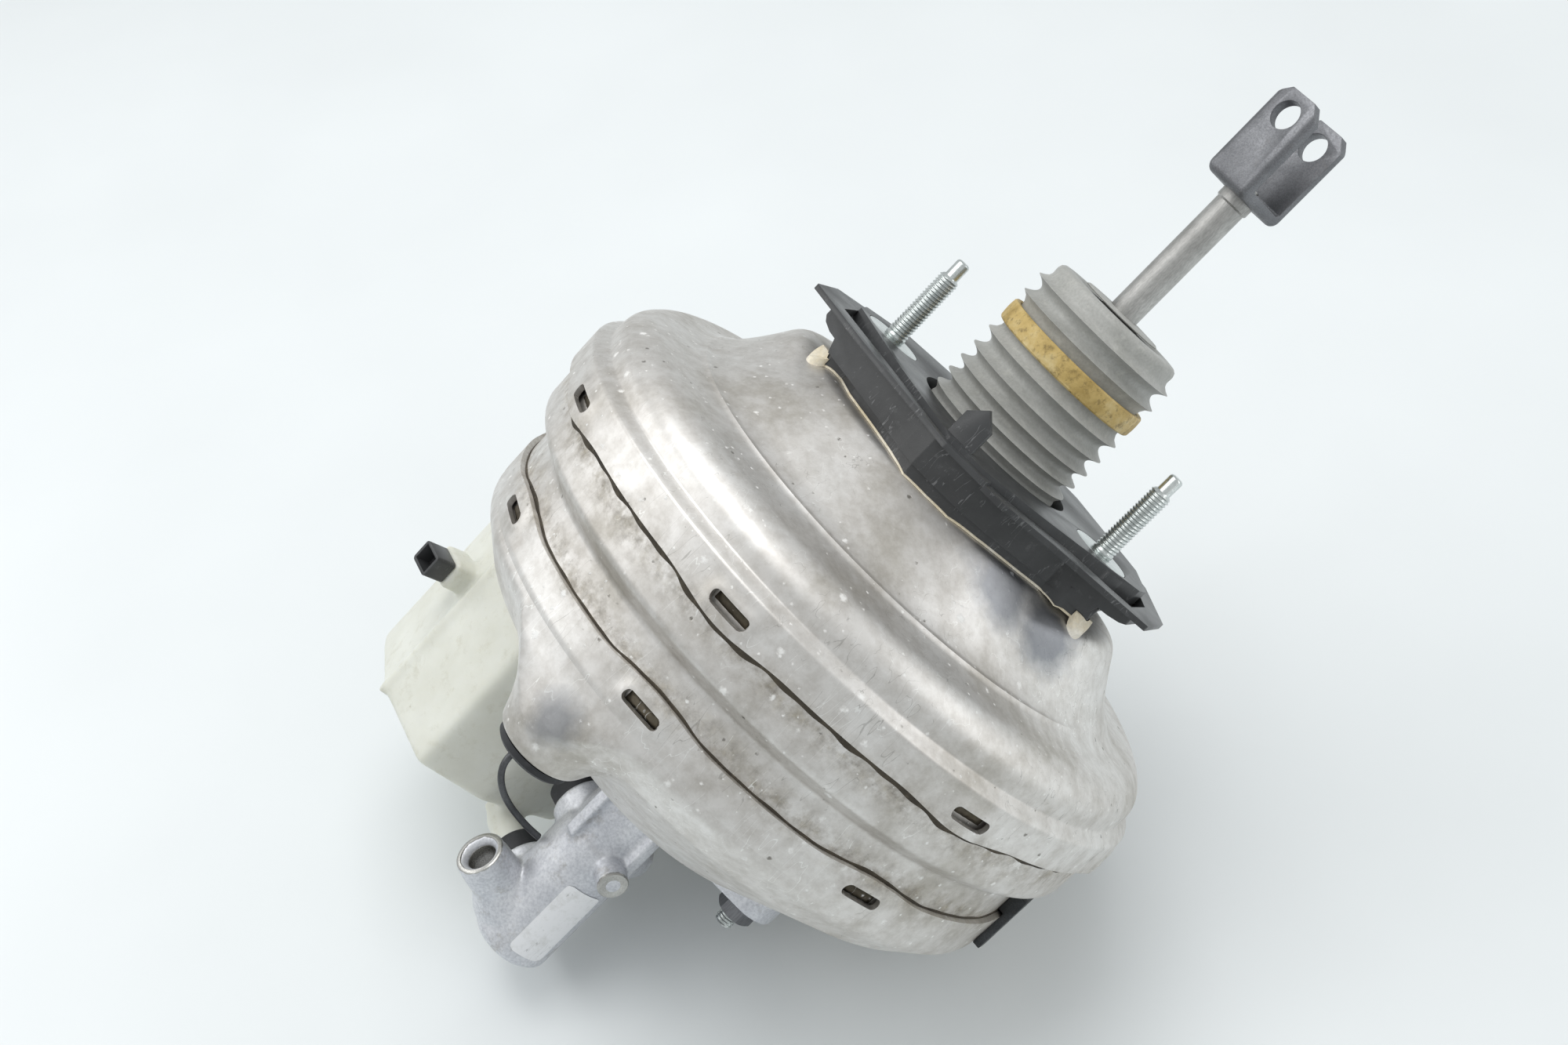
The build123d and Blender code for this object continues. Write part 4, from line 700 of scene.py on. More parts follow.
def baked(item, crease_degrees=35.0):
    """Applies a piece's modifiers and makes it smooth except at real edges."""
    graph = bpy.context.evaluated_depsgraph_get()
    mesh = bpy.data.meshes.new_from_object(item.evaluated_get(graph))
    item.modifiers.clear()
    item.data = mesh
    mesh.shade_smooth()
    mesh.set_sharp_from_angle(angle=math.radians(crease_degrees))
    return item


def new_piece(name, points_mm, faces, body, slot):
    """A mesh piece from points in millimetres, dressed in a slot's finish and riding on a body."""
    mesh = bpy.data.meshes.new(name)
    corners = (np.asarray(points_mm) * MM).tolist()
    mesh.from_pydata(corners, [], [list(map(int, face)) for face in faces])
    mesh.validate()
    loose = bmesh.new()
    loose.from_mesh(mesh)
    bmesh.ops.delete(loose, geom=[v for v in loose.verts if not v.link_faces], context="VERTS")
    bmesh.ops.recalc_face_normals(loose, faces=loose.faces)
    loose.to_mesh(mesh)
    loose.free()
    item = bpy.data.objects.new(name, mesh)
    bpy.context.collection.objects.link(item)
    mesh.materials.append(finish[slot])
    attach(item, body)
    return item


def thicken(item, thickness_mm, side=-1.0):
    """Gives a skin its sheet thickness, to the inside by default."""
    solid = item.modifiers.new("sheet", "SOLIDIFY")
    solid.thickness = thickness_mm * MM
    solid.offset = side
    return item


print("grid tools ready")

# %% [markdown]
# ## Lapped shells
# The shells lap over each other, and eight long slots in each skirt are where a tool lanced the
# metal to lock them. The press pushed the skirt out round each slot and let its edge run long
# there, so that the edge is a slow wave and not a plain circle. We bend the grid the same way: rows
# near the edge move along the axis, and points near a slot move out.

# %% Shell grid
SHEET_MM = 2.0
SLOT_ANGLES = np.array([-152.5 + 45.0 * k for k in range(8)])
SLOT_HALF_LENGTH = 7.5
SLOT_HALF_WIDTH = 1.8
SLOT_BULGE_MM = 0.9         # how far the press pushed the skirt out at a slot
SLOT_BULGE_REACH = 2.6      # from the slot's rim, in mm
SNAP_MM = 0.24              # points this near a slot's rim are pulled onto it
WAVE_DEGREES = 13.0         # from a slot to where the skirt's edge runs shortest
LIP_FLARE = 0.35            # how far the edge stands out at a slot, in mm


def angles_for(fine):
    """Angles round the circle in degrees, closer near each given (angle, half span, step)."""
    angle, marks = -180.0, []
    while angle < 180.0 - 1e-6:
        marks.append(angle)
        step = 1.0
        for centre, half, fine_step in fine:
            away = abs((angle - centre + 180.0) % 360.0 - 180.0)
            if away < half:
                step = min(step, fine_step)
        angle += step
    return np.array(marks)


def from_slot(degrees):
    """The signed angle in degrees from the nearest slot."""
    offsets = (degrees[..., None] - SLOT_ANGLES + 180) % 360 - 180
    nearest = np.argmin(np.abs(offsets), axis=-1)
    return np.take_along_axis(offsets, nearest[..., None], axis=-1)[..., 0]


def edge_wave(degrees):
    """1 at a slot, falling to 0 in a slow wave between the slots."""
    return 0.5 + 0.5 * np.cos(np.pi * np.clip(np.abs(from_slot(degrees)) / WAVE_DEGREES, 0, 1))


def turned_grid(profile, degrees):
    """Places along the axis, radii and angles of a profile turned through the given angles."""
    x = np.repeat(profile[:, :1], len(degrees), axis=1)
    r = np.repeat(profile[:, 1:], len(degrees), axis=1)
    return x, r, np.repeat(degrees[None, :], len(profile), axis=0)


def skirted_grid(profile, degrees, slot_x, edge_x, longer):
    """A turned grid with pushed-out slots and a wavy edge, longer by up to that at a slot."""
    x, r, turn = turned_grid(profile, degrees)
    away = from_slot(turn)
    across = np.radians(np.abs(away)) * r
    straight = np.maximum(across - (SLOT_HALF_LENGTH - SLOT_HALF_WIDTH), 0)
    distance = np.hypot(straight, x - slot_x) - SLOT_HALF_WIDTH
    share = np.clip((x - slot_x) / (edge_x - slot_x), 0, 1)
    x = x + share * (longer * edge_wave(turn))
    lift = SLOT_BULGE_MM * np.exp(-(np.clip(distance, 0, None) / SLOT_BULGE_REACH) ** 2)
    r = r + lift + LIP_FLARE * edge_wave(turn) * share
    close = np.abs(distance) < SNAP_MM
    reach = np.maximum(np.hypot(straight, x - slot_x), 1e-6)
    pull = np.where(close, -distance, 0.0)
    turn = turn + np.degrees(pull * straight / reach / r) * np.sign(away)
    x = x + pull * (x - slot_x) / reach
    return x, r, turn, np.where(close, 0.0, distance)


def to_points(x, r, turn):
    """Cartesian points of a turned grid."""
    angle = np.radians(turn)
    return np.stack([x, r * np.cos(angle), r * np.sin(angle)], axis=-1)


SLOT_FINE = [(angle, 4.6, 0.16) for angle in SLOT_ANGLES]      # half span and step in degrees
print("angles round a shell:", len(angles_for(SLOT_FINE)))

# %% [markdown]
# ## Flowing forms together
# Where the press drew one form out of another, such as the pad for the studs out of the cone, the
# metal flows from one to the other in a fillet. Two distances say how far a point is from each
# form, and a smooth minimum of the two is the distance from both together. Points of the plain
# shell are moved outwards until that distance is nothing.

# %% Smooth union


def smooth_least(first, second, reach):
    """The smaller of two distances, rounded over where they differ by less than reach."""
    overlap = np.clip(reach - np.abs(first - second), 0, None) / reach
    return np.minimum(first, second) - overlap * overlap * reach / 4


def smooth_most(first, second, reach):
    """The larger of two distances, rounded off at the edge between them."""
    return -smooth_least(-first, -second, reach)


def pushed_out(points, direction, rise, form, reach):
    """Moves points along direction until they lie on the plain shell joined with the form."""
    moved = np.zeros(len(points))
    for _ in range(60):
        here = points + direction * moved[:, None]
        moved = np.maximum(moved - 0.7 * smooth_least(moved * rise, form(here), reach), 0.0)
    return points + direction * moved[:, None]


STUD_ANGLE = math.radians(115.0)
STUD_LINE = np.array([0.0, math.cos(STUD_ANGLE), math.sin(STUD_ANGLE)])
STUD_ACROSS = np.cross([1.0, 0.0, 0.0], STUD_LINE)
PAD_X = -18.0               # the pad's flat
PAD_HALF_RUN = 43.0         # from the middle to the centre of the pad's round end
PAD_RADIUS = 33.0
PAD_FLANK = math.radians(30)


def stud_pad(points):
    """Distance to the long pad under the frame, a flat with leaning flanks."""
    along, across = points @ STUD_LINE, points @ STUD_ACROSS
    above = points[:, 0] - PAD_X
    flat = np.hypot(np.maximum(np.abs(along) - PAD_HALF_RUN, 0), across) - PAD_RADIUS
    flank = (flat + above * math.tan(PAD_FLANK)) * math.cos(PAD_FLANK)
    return smooth_most(flank, above, 5.0)


PORT_PLACE = np.array([-92.51, -26.0])
PORT_FACE = -156.5
PORT_HOLE_RADIUS = 9.0
BELL_STATIONS = [PORT_FACE, -150.0, -142.5, -134.0, -126.0]
BELL_RADII = [15.8, 17.2, 20.3, 26.0, 34.0]
BELL_SLOPE = 0.85           # cosine of the flank's mean lean, which turns a width into a distance
FRONT_RADIUS = 115.6


def from_port(points):
    """Distance from the vacuum port's axis."""
    return np.hypot(points[:, 1] - PORT_PLACE[0], points[:, 2] - PORT_PLACE[1])


def port_bell(points):
    """Distance to the bell that carries the vacuum port, cut off by the skirt's radius."""
    width = np.interp(points[:, 0], BELL_STATIONS, BELL_RADII)
    side_gap = (from_port(points) - width) * BELL_SLOPE
    bell = smooth_most(side_gap, PORT_FACE - points[:, 0], 4.0)
    return smooth_most(bell, np.hypot(points[:, 1], points[:, 2]) - (FRONT_RADIUS - 0.2), 1.5)


print("forms: stud pad, port bell")

# %% [markdown]
# ### The rear shell
# From the neck under the boot it runs out over a flat pad and a cone, turns over a rounded
# shoulder, and steps out to the skirt. A thin crease from the press runs round the cone's foot.

# %% Rear shell
REAR_RADIUS = 124.1
REAR_SLOT_X, REAR_EDGE_X = -70.4, -74.6
EDGE_RUN = 2.5              # how much longer a skirt is at a slot than between slots
FINE_STEP = 0.3             # between rows where the slots are cut
CREASE_RADIUS, CREASE_WIDTH, CREASE_DEPTH = 93.0, 0.8, 0.55

rear_line = sampled([(-1, 26), (PAD_X, 26), (PAD_X, 61), (-43.5, 92.5), (-46, 112.5),
                     (-52.5, 119.5), (-59.5, 119.5), (-62.6, REAR_RADIUS), (-67.0, REAR_RADIUS)],
                    [3, 7, 34, 15, 8.5, 0.9, 1.2], 1.5)
skirt_run = np.array([(x, REAR_RADIUS) for x in np.arange(-67.3, REAR_EDGE_X - 0.1, -FINE_STEP)])
rear_line = np.vstack([rear_line, skirt_run])
crease = np.exp(-((rear_line[:, 1] - CREASE_RADIUS) / CREASE_WIDTH) ** 2)
crease = crease * (rear_line[:, 0] < -30)
rear_line = rear_line - outward(rear_line) * (CREASE_DEPTH * crease)[:, None]
degrees = angles_for(SLOT_FINE)
x, r, turn, slot_gap = skirted_grid(rear_line, degrees, REAR_SLOT_X, REAR_EDGE_X, -EDGE_RUN)
points = to_points(x, r, turn).reshape(-1, 3)
print("rear shell's grid:", len(rear_line), "by", len(degrees))

# %% [markdown]
# The pad flows into the cone only where the cone is: not in the neck, and not on the shoulder.

# %% Rear shell's pad
CONE_RADII = (61.0, 112.0)
PAD_FLOW = 9.0              # reach of the fillet between pad and cone

normals = outward(rear_line)
normals = normals * np.sign(normals[len(rear_line) // 2, 1])
direction = to_points(*turned_grid(normals, degrees)[:2], turn).reshape(-1, 3)
radius = np.hypot(points[:, 1], points[:, 2])
lifted = (radius > CONE_RADII[0] + 0.2) & (radius < CONE_RADII[1])
flow = PAD_FLOW * np.clip((radius - CONE_RADII[0]) / PAD_FLOW, 0.01, 1)
points[lifted] = pushed_out(points[lifted], direction[lifted], 1.0, stud_pad, flow[lifted])
inside = slot_gap.ravel() < -1e-9
on_edge = np.abs(slot_gap.ravel()) < 1e-9
faces = grid_faces(len(rear_line), len(degrees), inside, on_edge)
rear_skin = new_piece("rear_shell_skin", points, faces, "housing", "shell_aluminium")
baked(thicken(rear_skin, SHEET_MM))
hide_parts("rear_shell")
print("rear shell:", len(rear_skin.data.vertices), "points")

# %% [markdown]
# ### The centre shell
# It is a plain ring with one step. The rear skirt laps over its wide end and it slides into the
# front skirt, so no slots are cut in it.

# %% Centre shell
WIDE_RADIUS, NARROW_RADIUS = 121.5, 113.3

centre_line = sampled([(-65, WIDE_RADIUS), (-90.5, WIDE_RADIUS), (-94.5, 116.4),
                       (-96.5, NARROW_RADIUS), (-118.5, NARROW_RADIUS)], [4, 3.0, 3.0], 2.0)
degrees = angles_for([])
points = to_points(*turned_grid(centre_line, degrees)).reshape(-1, 3)
faces = grid_faces(len(centre_line), len(degrees))
centre_skin = new_piece("centre_shell_skin", points, faces, "housing", "shell_aluminium")
baked(thicken(centre_skin, SHEET_MM))
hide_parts("centre_shell")
print("centre shell:", len(centre_skin.data.vertices), "points")

# %% [markdown]
# ### The front shell
# Its dome slopes to a flat where the master cylinder bolts on, and one side is drawn out into a
# bell that holds the vacuum port. The bell stands along the axis, so points there move along the
# axis, and not along the shell's normal, until they lie on it.

# %% Front shell
FRONT_SLOT_X, FRONT_EDGE_X = -114.6, -109.6
FRONT_CREASE_X, FRONT_CREASE_DEPTH = -122.0, 0.4
PORT_ANGLE = -164.3         # of the vacuum port, in degrees round the axis

front_skirt = np.array([(x, FRONT_RADIUS) for x in np.arange(FRONT_EDGE_X, -119.2, -FINE_STEP)])
front_dome = sampled([(-119.4, FRONT_RADIUS), (-122, FRONT_RADIUS), (-126.5, 114.6),
                      (-137.5, 104), (-166.5, 56), (-166.5, 17.1)], [0.6, 7, 12, 5], 1.4)
front_line = np.vstack([front_skirt, front_dome])
crease = np.exp(-((front_line[:, 0] - FRONT_CREASE_X) / CREASE_WIDTH) ** 2)
front_line = front_line - np.stack([0 * crease, FRONT_CREASE_DEPTH * crease], axis=1)
degrees = angles_for(SLOT_FINE + [(PORT_ANGLE, 24.0, 0.5)])
x, r, turn, slot_gap = skirted_grid(front_line, degrees, FRONT_SLOT_X, FRONT_EDGE_X, EDGE_RUN)
points = to_points(x, r, turn).reshape(-1, 3)
print("front shell's grid:", len(front_line), "by", len(degrees))

# %% [markdown]
# The bell is only looked for near the port and forward of the skirt. Its hole is cut last, like
# the slots: points near the hole's rim are pulled onto it first.

# %% Front shell's bell
BELL_SPAN = 50.0            # from the port's axis, wider than the bell with its fillet
BELL_BACK_X = -123.0        # the bell ends here, where the skirt begins
BELL_FLOW = 10.0            # reach of the fillet between bell and dome
RIM_SNAP = 0.45

normals = outward(front_line)
normals = normals * np.sign(normals[0, 1])
lean = np.maximum(np.repeat(np.abs(normals[:, :1]), len(degrees), 1).ravel(), 0.2)
lifted = (from_port(points) < BELL_SPAN) & (points[:, 0] < BELL_BACK_X)
forward = np.tile([-1.0, 0.0, 0.0], (len(points), 1))
flow = BELL_FLOW * np.clip((BELL_BACK_X - points[:, 0]) / BELL_FLOW, 0.05, 1)
points[lifted] = pushed_out(points[lifted], forward[lifted], lean[lifted], port_bell, flow[lifted])
away = from_port(points)
hole_gap = np.where(points[:, 0] < -150.0, away - PORT_HOLE_RADIUS, np.inf)
snapped = np.abs(hole_gap) < RIM_SNAP
pulled = (points[snapped, 1:] - PORT_PLACE) * (PORT_HOLE_RADIUS / away[snapped])[:, None]
points[snapped, 1:] = PORT_PLACE + pulled
hole_gap[snapped] = 0.0
gap = np.minimum(slot_gap.ravel(), hole_gap)
faces = grid_faces(len(front_line), len(degrees), gap < -1e-9, np.abs(gap) < 1e-9)
front_skin = new_piece("front_shell_skin", points, faces, "housing", "shell_aluminium")
baked(thicken(front_skin, SHEET_MM))
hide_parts("front_shell")
print("front shell:", len(front_skin.data.vertices), "points")

# %% [markdown]
# ### Lanced tongues
# Behind each slot the inner shell's metal was sheared and pushed out in a short tongue. Each is a
# small strip with a torn, slightly rippled face, bent to the shell's curve, dull and dirty, and
# coloured far darker than the shells for the painted shade down in its slot.

# %% Lanced tongues
TONGUE_HALF_LENGTH, TONGUE_HALF_WIDTH = 6.6, 1.9
TONGUE_SHEET = 0.6
TONGUE_RISE = 0.9
RIPPLE = 0.07
SHEET_GAP = 0.1             # the tongue's foot lies this far above the inner shell


def tongues(name, slot_x, inner_radius):
    """Eight bowed strips behind the slots of one lap."""
    points, faces = [], []
    lengths = np.linspace(-TONGUE_HALF_LENGTH, TONGUE_HALF_LENGTH, 41)
    widths = np.linspace(-TONGUE_HALF_WIDTH, TONGUE_HALF_WIDTH, 7)
    foot = inner_radius + SHEET_GAP
    for angle in SLOT_ANGLES:
        faces += strip_faces(len(lengths), len(widths), len(points))
        for a in lengths:
            for b in widths:
                bow = (1 - (a / TONGUE_HALF_LENGTH) ** 4) * (1 - (b / TONGUE_HALF_WIDTH) ** 2)
                out = foot + TONGUE_RISE * bow + RIPPLE * math.sin(a * 2.3 + b * 1.9)
                turned = math.radians(angle) + a / foot
                points.append((slot_x + b, out * math.cos(turned), out * math.sin(turned)))
    piece = new_piece(name, points, faces, "housing", "shell_aluminium")
    baked(thicken(piece, TONGUE_SHEET))
    # the tongue's very dark colour is dirt and painted shade down in the slot
    piece.data.materials[0] = finish["lap_metal"]


# a far darker copy of the shell metal: dirt, and painted shade in the slots
finish["lap_metal"] = pressed_aluminium(
    "sheared_aluminium_dirt_and_painted_shade", "#777063", "#565044", "#3a342b", "#3f382d", (-70.0, -114.0))
tongues("rear_lanced_tongues", REAR_SLOT_X, WIDE_RADIUS)
tongues("front_lanced_tongues", FRONT_SLOT_X, NARROW_RADIUS)
print("tongues:", len(SLOT_ANGLES) * 2)

# %% [markdown]
# ### Grime and painted shade in the laps
# Road dirt packs into the corner where one shell slides into the next, and that corner lies in
# shade. A thin dark bead follows each wavy edge and paints both the grime and the shade: it starts
# at the edge's underside and runs out on the inner shell within two or three millimetres.

# %% Grime and shade beads


def grime_and_shade_bead(name, edge_x, longer, out_radius, inner_radius, reach):
    """A thin dark bead along a skirt's wavy edge, packed grime and painted shade at once; reach is
    signed along the axis.
    """
    degrees = angles_for([(angle, 16.0, 0.5) for angle in SLOT_ANGLES])
    edge = edge_x + longer * edge_wave(degrees)
    around = np.radians(degrees)
    ragged = 1.0 + 0.25 * np.sin(around * 47.0) * np.sin(around * 11.0 + 1.0)
    rows = [(edge - 0.4 * np.sign(reach), out_radius),
            (edge + 0.15 * reach, out_radius - 0.25),
            (edge + 0.5 * reach * ragged, inner_radius + 0.35),
            (edge + reach * ragged, inner_radius - 0.05)]
    x = np.array([row[0] for row in rows])
    r = np.array([np.full(len(degrees), row[1]) for row in rows])
    points = to_points(x, r, np.repeat(degrees[None, :], len(rows), 0)).reshape(-1, 3)
    bead = new_piece(name, points, grid_faces(len(rows), len(degrees)), "housing", "shell_aluminium")
    # the bead's dark colour is packed grime and painted shade in the lap's corner
    bead.data.materials[0] = finish["road_grime"]
    baked(bead, 60.0)


# a dark, dull fill that paints both the grime in the laps and the shade in their corners
finish["road_grime"] = moulded_rubber(
    "packed_road_grime", "#37322b", "#51493c", "#7a705f", 1.1, 0.1, 0.9)
grime_and_shade_bead("rear_lap_grime_and_shade", REAR_EDGE_X, -EDGE_RUN, WIDE_RADIUS + 1.0, WIDE_RADIUS, -2.3)
grime_and_shade_bead("front_lap_grime_and_shade", FRONT_EDGE_X, EDGE_RUN, NARROW_RADIUS + 0.5, NARROW_RADIUS, 0.8)
print("grime beads along both laps")

# %% [markdown]
# ## The boot
# The bellows is moulded rubber with sharp lips and hollow valleys between them. A lip is a cusp:
# two valley curves meet there. So the radius between two lips follows a power of the distance from
# the valley's middle, which is flat in the valley and steep at the lip. The real boot folds up as
# the rod is pushed in; this one keeps its moulded shape.

# %% Boot
LIPS = [2.6, 8.0, 13.8, 20.1, 27.2, 44.1, 51.1]      # along the axis
BAND = (32.2, 39.8)
LIP_RADIUS = 29.4
VALLEY_RADIUS = 25.6
RUBBER_MM = 1.2


def valley(first, last):
    """Profile points from one lip to the next over a valley."""
    run = []
    for share in np.linspace(0, 1, 15)[1:]:
        away = abs(share - 0.5) / 0.5
        radius = VALLEY_RADIUS + (LIP_RADIUS - VALLEY_RADIUS) * away ** 2.0
        run.append((first + (last - first) * share, radius))
    return run


def boot_profile():
    """Side profile of the boot: its foot, five lips, the band's seat, two lips and its end."""
    line = [(-5.0, 27.6), (-4.4, 28.1), (-1.5, 28.1), (-0.4, 27.7), (0.6, 27.9),
            (LIPS[0], LIP_RADIUS)]
    for first, last in zip(LIPS[:4], LIPS[1:5]):
        line += valley(first, last)
    line += [(28.6, 27.4), (30.2, 26.5), (BAND[0] - 0.3, 26.3), (BAND[1] + 0.3, 26.3),
             (41.2, 26.6), (42.9, 27.6), (LIPS[5], LIP_RADIUS)]
    line += valley(LIPS[5], LIPS[6])
    line += [(51.8, 28.0), (52.8, 26.7), (54.0, 26.2), (56.6, 26.3), (58.0, 25.8), (58.7, 24.8),
             (58.9, 23.4), (58.9, 18.0), (58.3, 17.2), (58.1, 16.0), (58.1, 11.6)]
    return np.array(line)


def turned_piece(name, line, body, slot, columns=240, sheet_mm=None, crease_degrees=35.0):
    """A piece turned about the booster's axis from (x, radius) points."""
    degrees = np.arange(columns) * 360.0 / columns
    points = to_points(*turned_grid(line, degrees)).reshape(-1, 3)
    piece = new_piece(name, points, grid_faces(len(line), columns), body, slot)
    if sheet_mm:
        thicken(piece, sheet_mm)
    return baked(piece, crease_degrees)


boot = turned_piece("boot_bellows", boot_profile(), "housing", "boot_rubber",
                    sheet_mm=RUBBER_MM, crease_degrees=50.0)
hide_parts("boot")
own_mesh(boot)

# %% [markdown]
# The boot's small end grips the rod, and the rod can tip a little. So the last lip is its own ring
# that rides on the rod and slides over the boot's end.

# %% Boot lip
lip_line = np.array([(60.4, 5.6), (60.5, 8.0), (60.3, 12.0), (60.1, 15.2), (59.7, 15.8), (59.4, 15.6),
                     (59.3, 12.0), (59.2, 8.0), (55.4, 7.8), (55.2, 5.6), (60.4, 5.6)])
turned_piece("boot_end_lip", lip_line, "rod_body", "boot_rubber", 96)
print("boot lip rides on the rod")

# %% [markdown]
# ## The band
# A mustard clamp ring sits between two lips. It is a plain moulded ring with a faint crown and
# rounded edges.

# %% Band
BAND_RADIUS = 29.05
BAND_CROWN = 0.22

crown = [(BAND[0] + 0.5 + (BAND[1] - BAND[0] - 1.0) * share,
          BAND_RADIUS + BAND_CROWN * math.sin(math.pi * share)) for share in np.linspace(0, 1, 9)]
band_line = [(BAND[0] + 0.6, 26.5), (BAND[0] + 0.05, 27.0), (BAND[0], 28.6)] + crown
band_line += [(BAND[1], 28.6), (BAND[1] - 0.05, 27.0), (BAND[1] - 0.6, 26.5), (BAND[0] + 0.6, 26.5)]
band = turned_piece("clamp_band", np.array(band_line), "housing", "band_plastic")
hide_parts("boot_band")
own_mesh(band)
print("band", BAND)

# %% [markdown]
# ## Threaded studs
# The two studs are the rear ends of long bolts that go right through the booster. A rolled M8
# thread has a pitch of 1.25 mm. Its surface is a grid whose radius depends on how far round and
# how far along a point is, which gives a true helix. The tip is a plain pilot, and the front
# ends come out of their nuts by a few turns.

# %% Studs
PITCH_MM = 1.25
THREAD_DEPTH = 0.55
ROW_STEP = 0.156            # eight rows to a turn draw the thread's flanks
REAR_THREAD = (1.6, 27.6)
FRONT_THREAD = (-187.4, -175.0)


def stud_profile():
    """Rows of (x, radius, thread depth) along a tie bolt."""
    rows = [(-188.0, 2.6, 0.0), (-187.9, 2.9, 0.0)]
    rows += [(x, 3.58, THREAD_DEPTH if x < FRONT_THREAD[1] else 0.0)
             for x in np.arange(FRONT_THREAD[0], FRONT_THREAD[1] + 0.1, ROW_STEP)]
    rows += [(-174.0, 3.3, 0.0), (-170.0, 3.5, 0.0), (-1.0, 3.5, 0.0), (0.0, 3.7, 0.0),
             (0.6, 3.95, 0.0)]
    rows += [(x, 3.98, THREAD_DEPTH) for x in np.arange(*REAR_THREAD, ROW_STEP)]
    rows += [(27.7, 3.9, 0.5), (28.2, 3.4, 0.2), (28.6, 2.75, 0.0), (28.8, 2.62, 0.0),
             (34.4, 2.62, 0.0), (35.0, 2.2, 0.0), (35.2, 1.6, 0.0)]
    return rows


def threaded_bolt(name, node):
    """A tie bolt with both threads, round its own axis."""
    low, high = span(node)
    centre = (low[1:] + high[1:]) / 2
    rows, columns = stud_profile(), 40
    points = []
    for x, radius, depth in rows:
        for j in range(columns):
            share = (x / PITCH_MM - j / columns) % 1.0
            out = radius - depth * min(1.0, 2.2 * abs(share - 0.5))
            angle = 2 * math.pi * j / columns
            points.append((x, centre[0] + out * math.cos(angle), centre[1] + out * math.sin(angle)))
    faces = grid_faces(len(rows), columns)
    faces.append(list(range(columns)))
    faces.append(list(range((len(rows) - 1) * columns, len(rows) * columns)))
    bolt = new_piece(name, points, faces, "housing", "zinc_steel")
    baked(bolt, 70.0)
    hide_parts(node)


threaded_bolt("tie_bolt_upper_threaded", "tie_bolt_upper")
threaded_bolt("tie_bolt_lower_threaded", "tie_bolt_lower")
print("thread turns on a stud:", round((REAR_THREAD[1] - REAR_THREAD[0]) / PITCH_MM, 1))

# %% [markdown]
# ## Softened edges
# Nothing moulded, cast or stamped has a knife edge. A copy of the CAD mesh gets its flat faces
# joined again, and then a narrow bevel on its sharp edges, which catches a thin line of light.

# %% Softened edges


def linked_piece(name, mesh, material):
    """An object in the scene from a mesh, in one material."""
    mesh.materials.clear()
    mesh.materials.append(material)
    piece = bpy.data.objects.new(name, mesh)
    bpy.context.collection.objects.link(piece)
    return piece


def softened(node, name, width_mm, material=None):
    """A copy of a CAD node's mesh with bevelled edges, in the node's finish or a given one."""
    mesh = frame["nodes"][node].data.copy()
    mesh.name = name
    joined = bmesh.new()
    joined.from_mesh(mesh)
    bmesh.ops.remove_doubles(joined, verts=joined.verts, dist=0.02 * MM)
    bmesh.ops.dissolve_limit(joined, angle_limit=math.radians(1.0),
                             verts=joined.verts, edges=joined.edges)
    joined.to_mesh(mesh)
    joined.free()
    piece = linked_piece(name, mesh, finish[material or slot_of[node]])
    bevel = piece.modifiers.new("soft_edge", "BEVEL")
    bevel.width = width_mm * MM
    bevel.segments = 2
    bevel.limit_method = "ANGLE"
    bevel.angle_limit = math.radians(32.0)
    bevel.use_clamp_overlap = True
    baked(piece, 40.0)
    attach(piece, body_of[node])
    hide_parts(node)
    print("softened", node, "by", width_mm, "mm")


softened("bulkhead_frame", "bulkhead_frame_moulding", 0.45)
softened("clevis", "clevis_fork", 0.5, "forged_steel")
softened("sensor_plug", "sensor_connector", 0.35)
softened("front_nut_upper", "flange_nut_upper", 0.25, "dark_steel")
softened("front_nut_lower", "flange_nut_lower", 0.25, "dark_steel")
softened("collar_upper", "stud_collar_upper", 0.3)
softened("collar_lower", "stud_collar_lower", 0.3)
softened("shell_clip", "clip_strip", 0.3)
softened("filler_cap", "screw_cap", 0.3)

# %% [markdown]
# ## Flowing castings and mouldings
# A casting has no corner that metal couldn't flow round, and a blow-moulded tank has none at all. A
# voxel remesh turns the CAD body into one even skin, which also joins whatever overlaps it, and
# smoothing rounds its corners by a millimetre or two without moving its walls.

# %% Flowed skins


def flowed(node, name, voxel_mm, rounds, fillers=()):
    """A CAD node's mesh as an even skin with round corners; fillers are (from, to, radii) cones."""
    mesh = frame["nodes"][node].data.copy()
    mesh.name = name
    joined = bmesh.new()
    joined.from_mesh(mesh)
    for first, last, radii in fillers:
        first, last = Vector(first) * MM, Vector(last) * MM
        along = last - first
        leaning = along.to_track_quat("Z", "Y").to_matrix().to_4x4()
        bmesh.ops.create_cone(joined, cap_ends=True, segments=64,
                              radius1=radii[0] * MM, radius2=radii[1] * MM, depth=along.length,
                              matrix=Matrix.Translation((first + last) / 2) @ leaning)
    joined.to_mesh(mesh)
    joined.free()
    piece = linked_piece(name, mesh, finish[slot_of[node]])
    skin = piece.modifiers.new("even_skin", "REMESH")
    skin.mode = "VOXEL"
    skin.voxel_size = voxel_mm * MM
    smooth = piece.modifiers.new("round_corners", "SMOOTH")
    smooth.factor = 0.5
    smooth.iterations = rounds
    baked(piece, 60.0)
    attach(piece, body_of[node])
    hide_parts(node)
    return piece


tank = flowed("reservoir", "fluid_tank", 0.9, 45)
print("tank:", len(tank.data.vertices), "points")

# %% [markdown]
# ## The cast cylinder
# The outlet boss of the master cylinder grows out of the body in a wide fillet, so a short cone
# fills its root before the remesh. Its mouth is turned bright after casting: a flat rim, then a
# cone that seals the pipe's flare. The stop screw's boss has a turned face too.

# %% Cast cylinder
PORT_ROOT = Vector((-247.0, 0.0, 3.4))
PORT_OUT = Vector((0.41, -0.88, 0.24)).normalized()
PORT_REACH = 35.2
casting = flowed("master_body", "master_cylinder_casting", 0.8, 5, fillers=[
    (PORT_ROOT + PORT_OUT * 12.0, PORT_ROOT + PORT_OUT * 22.0, (14.0, 9.4)),
])


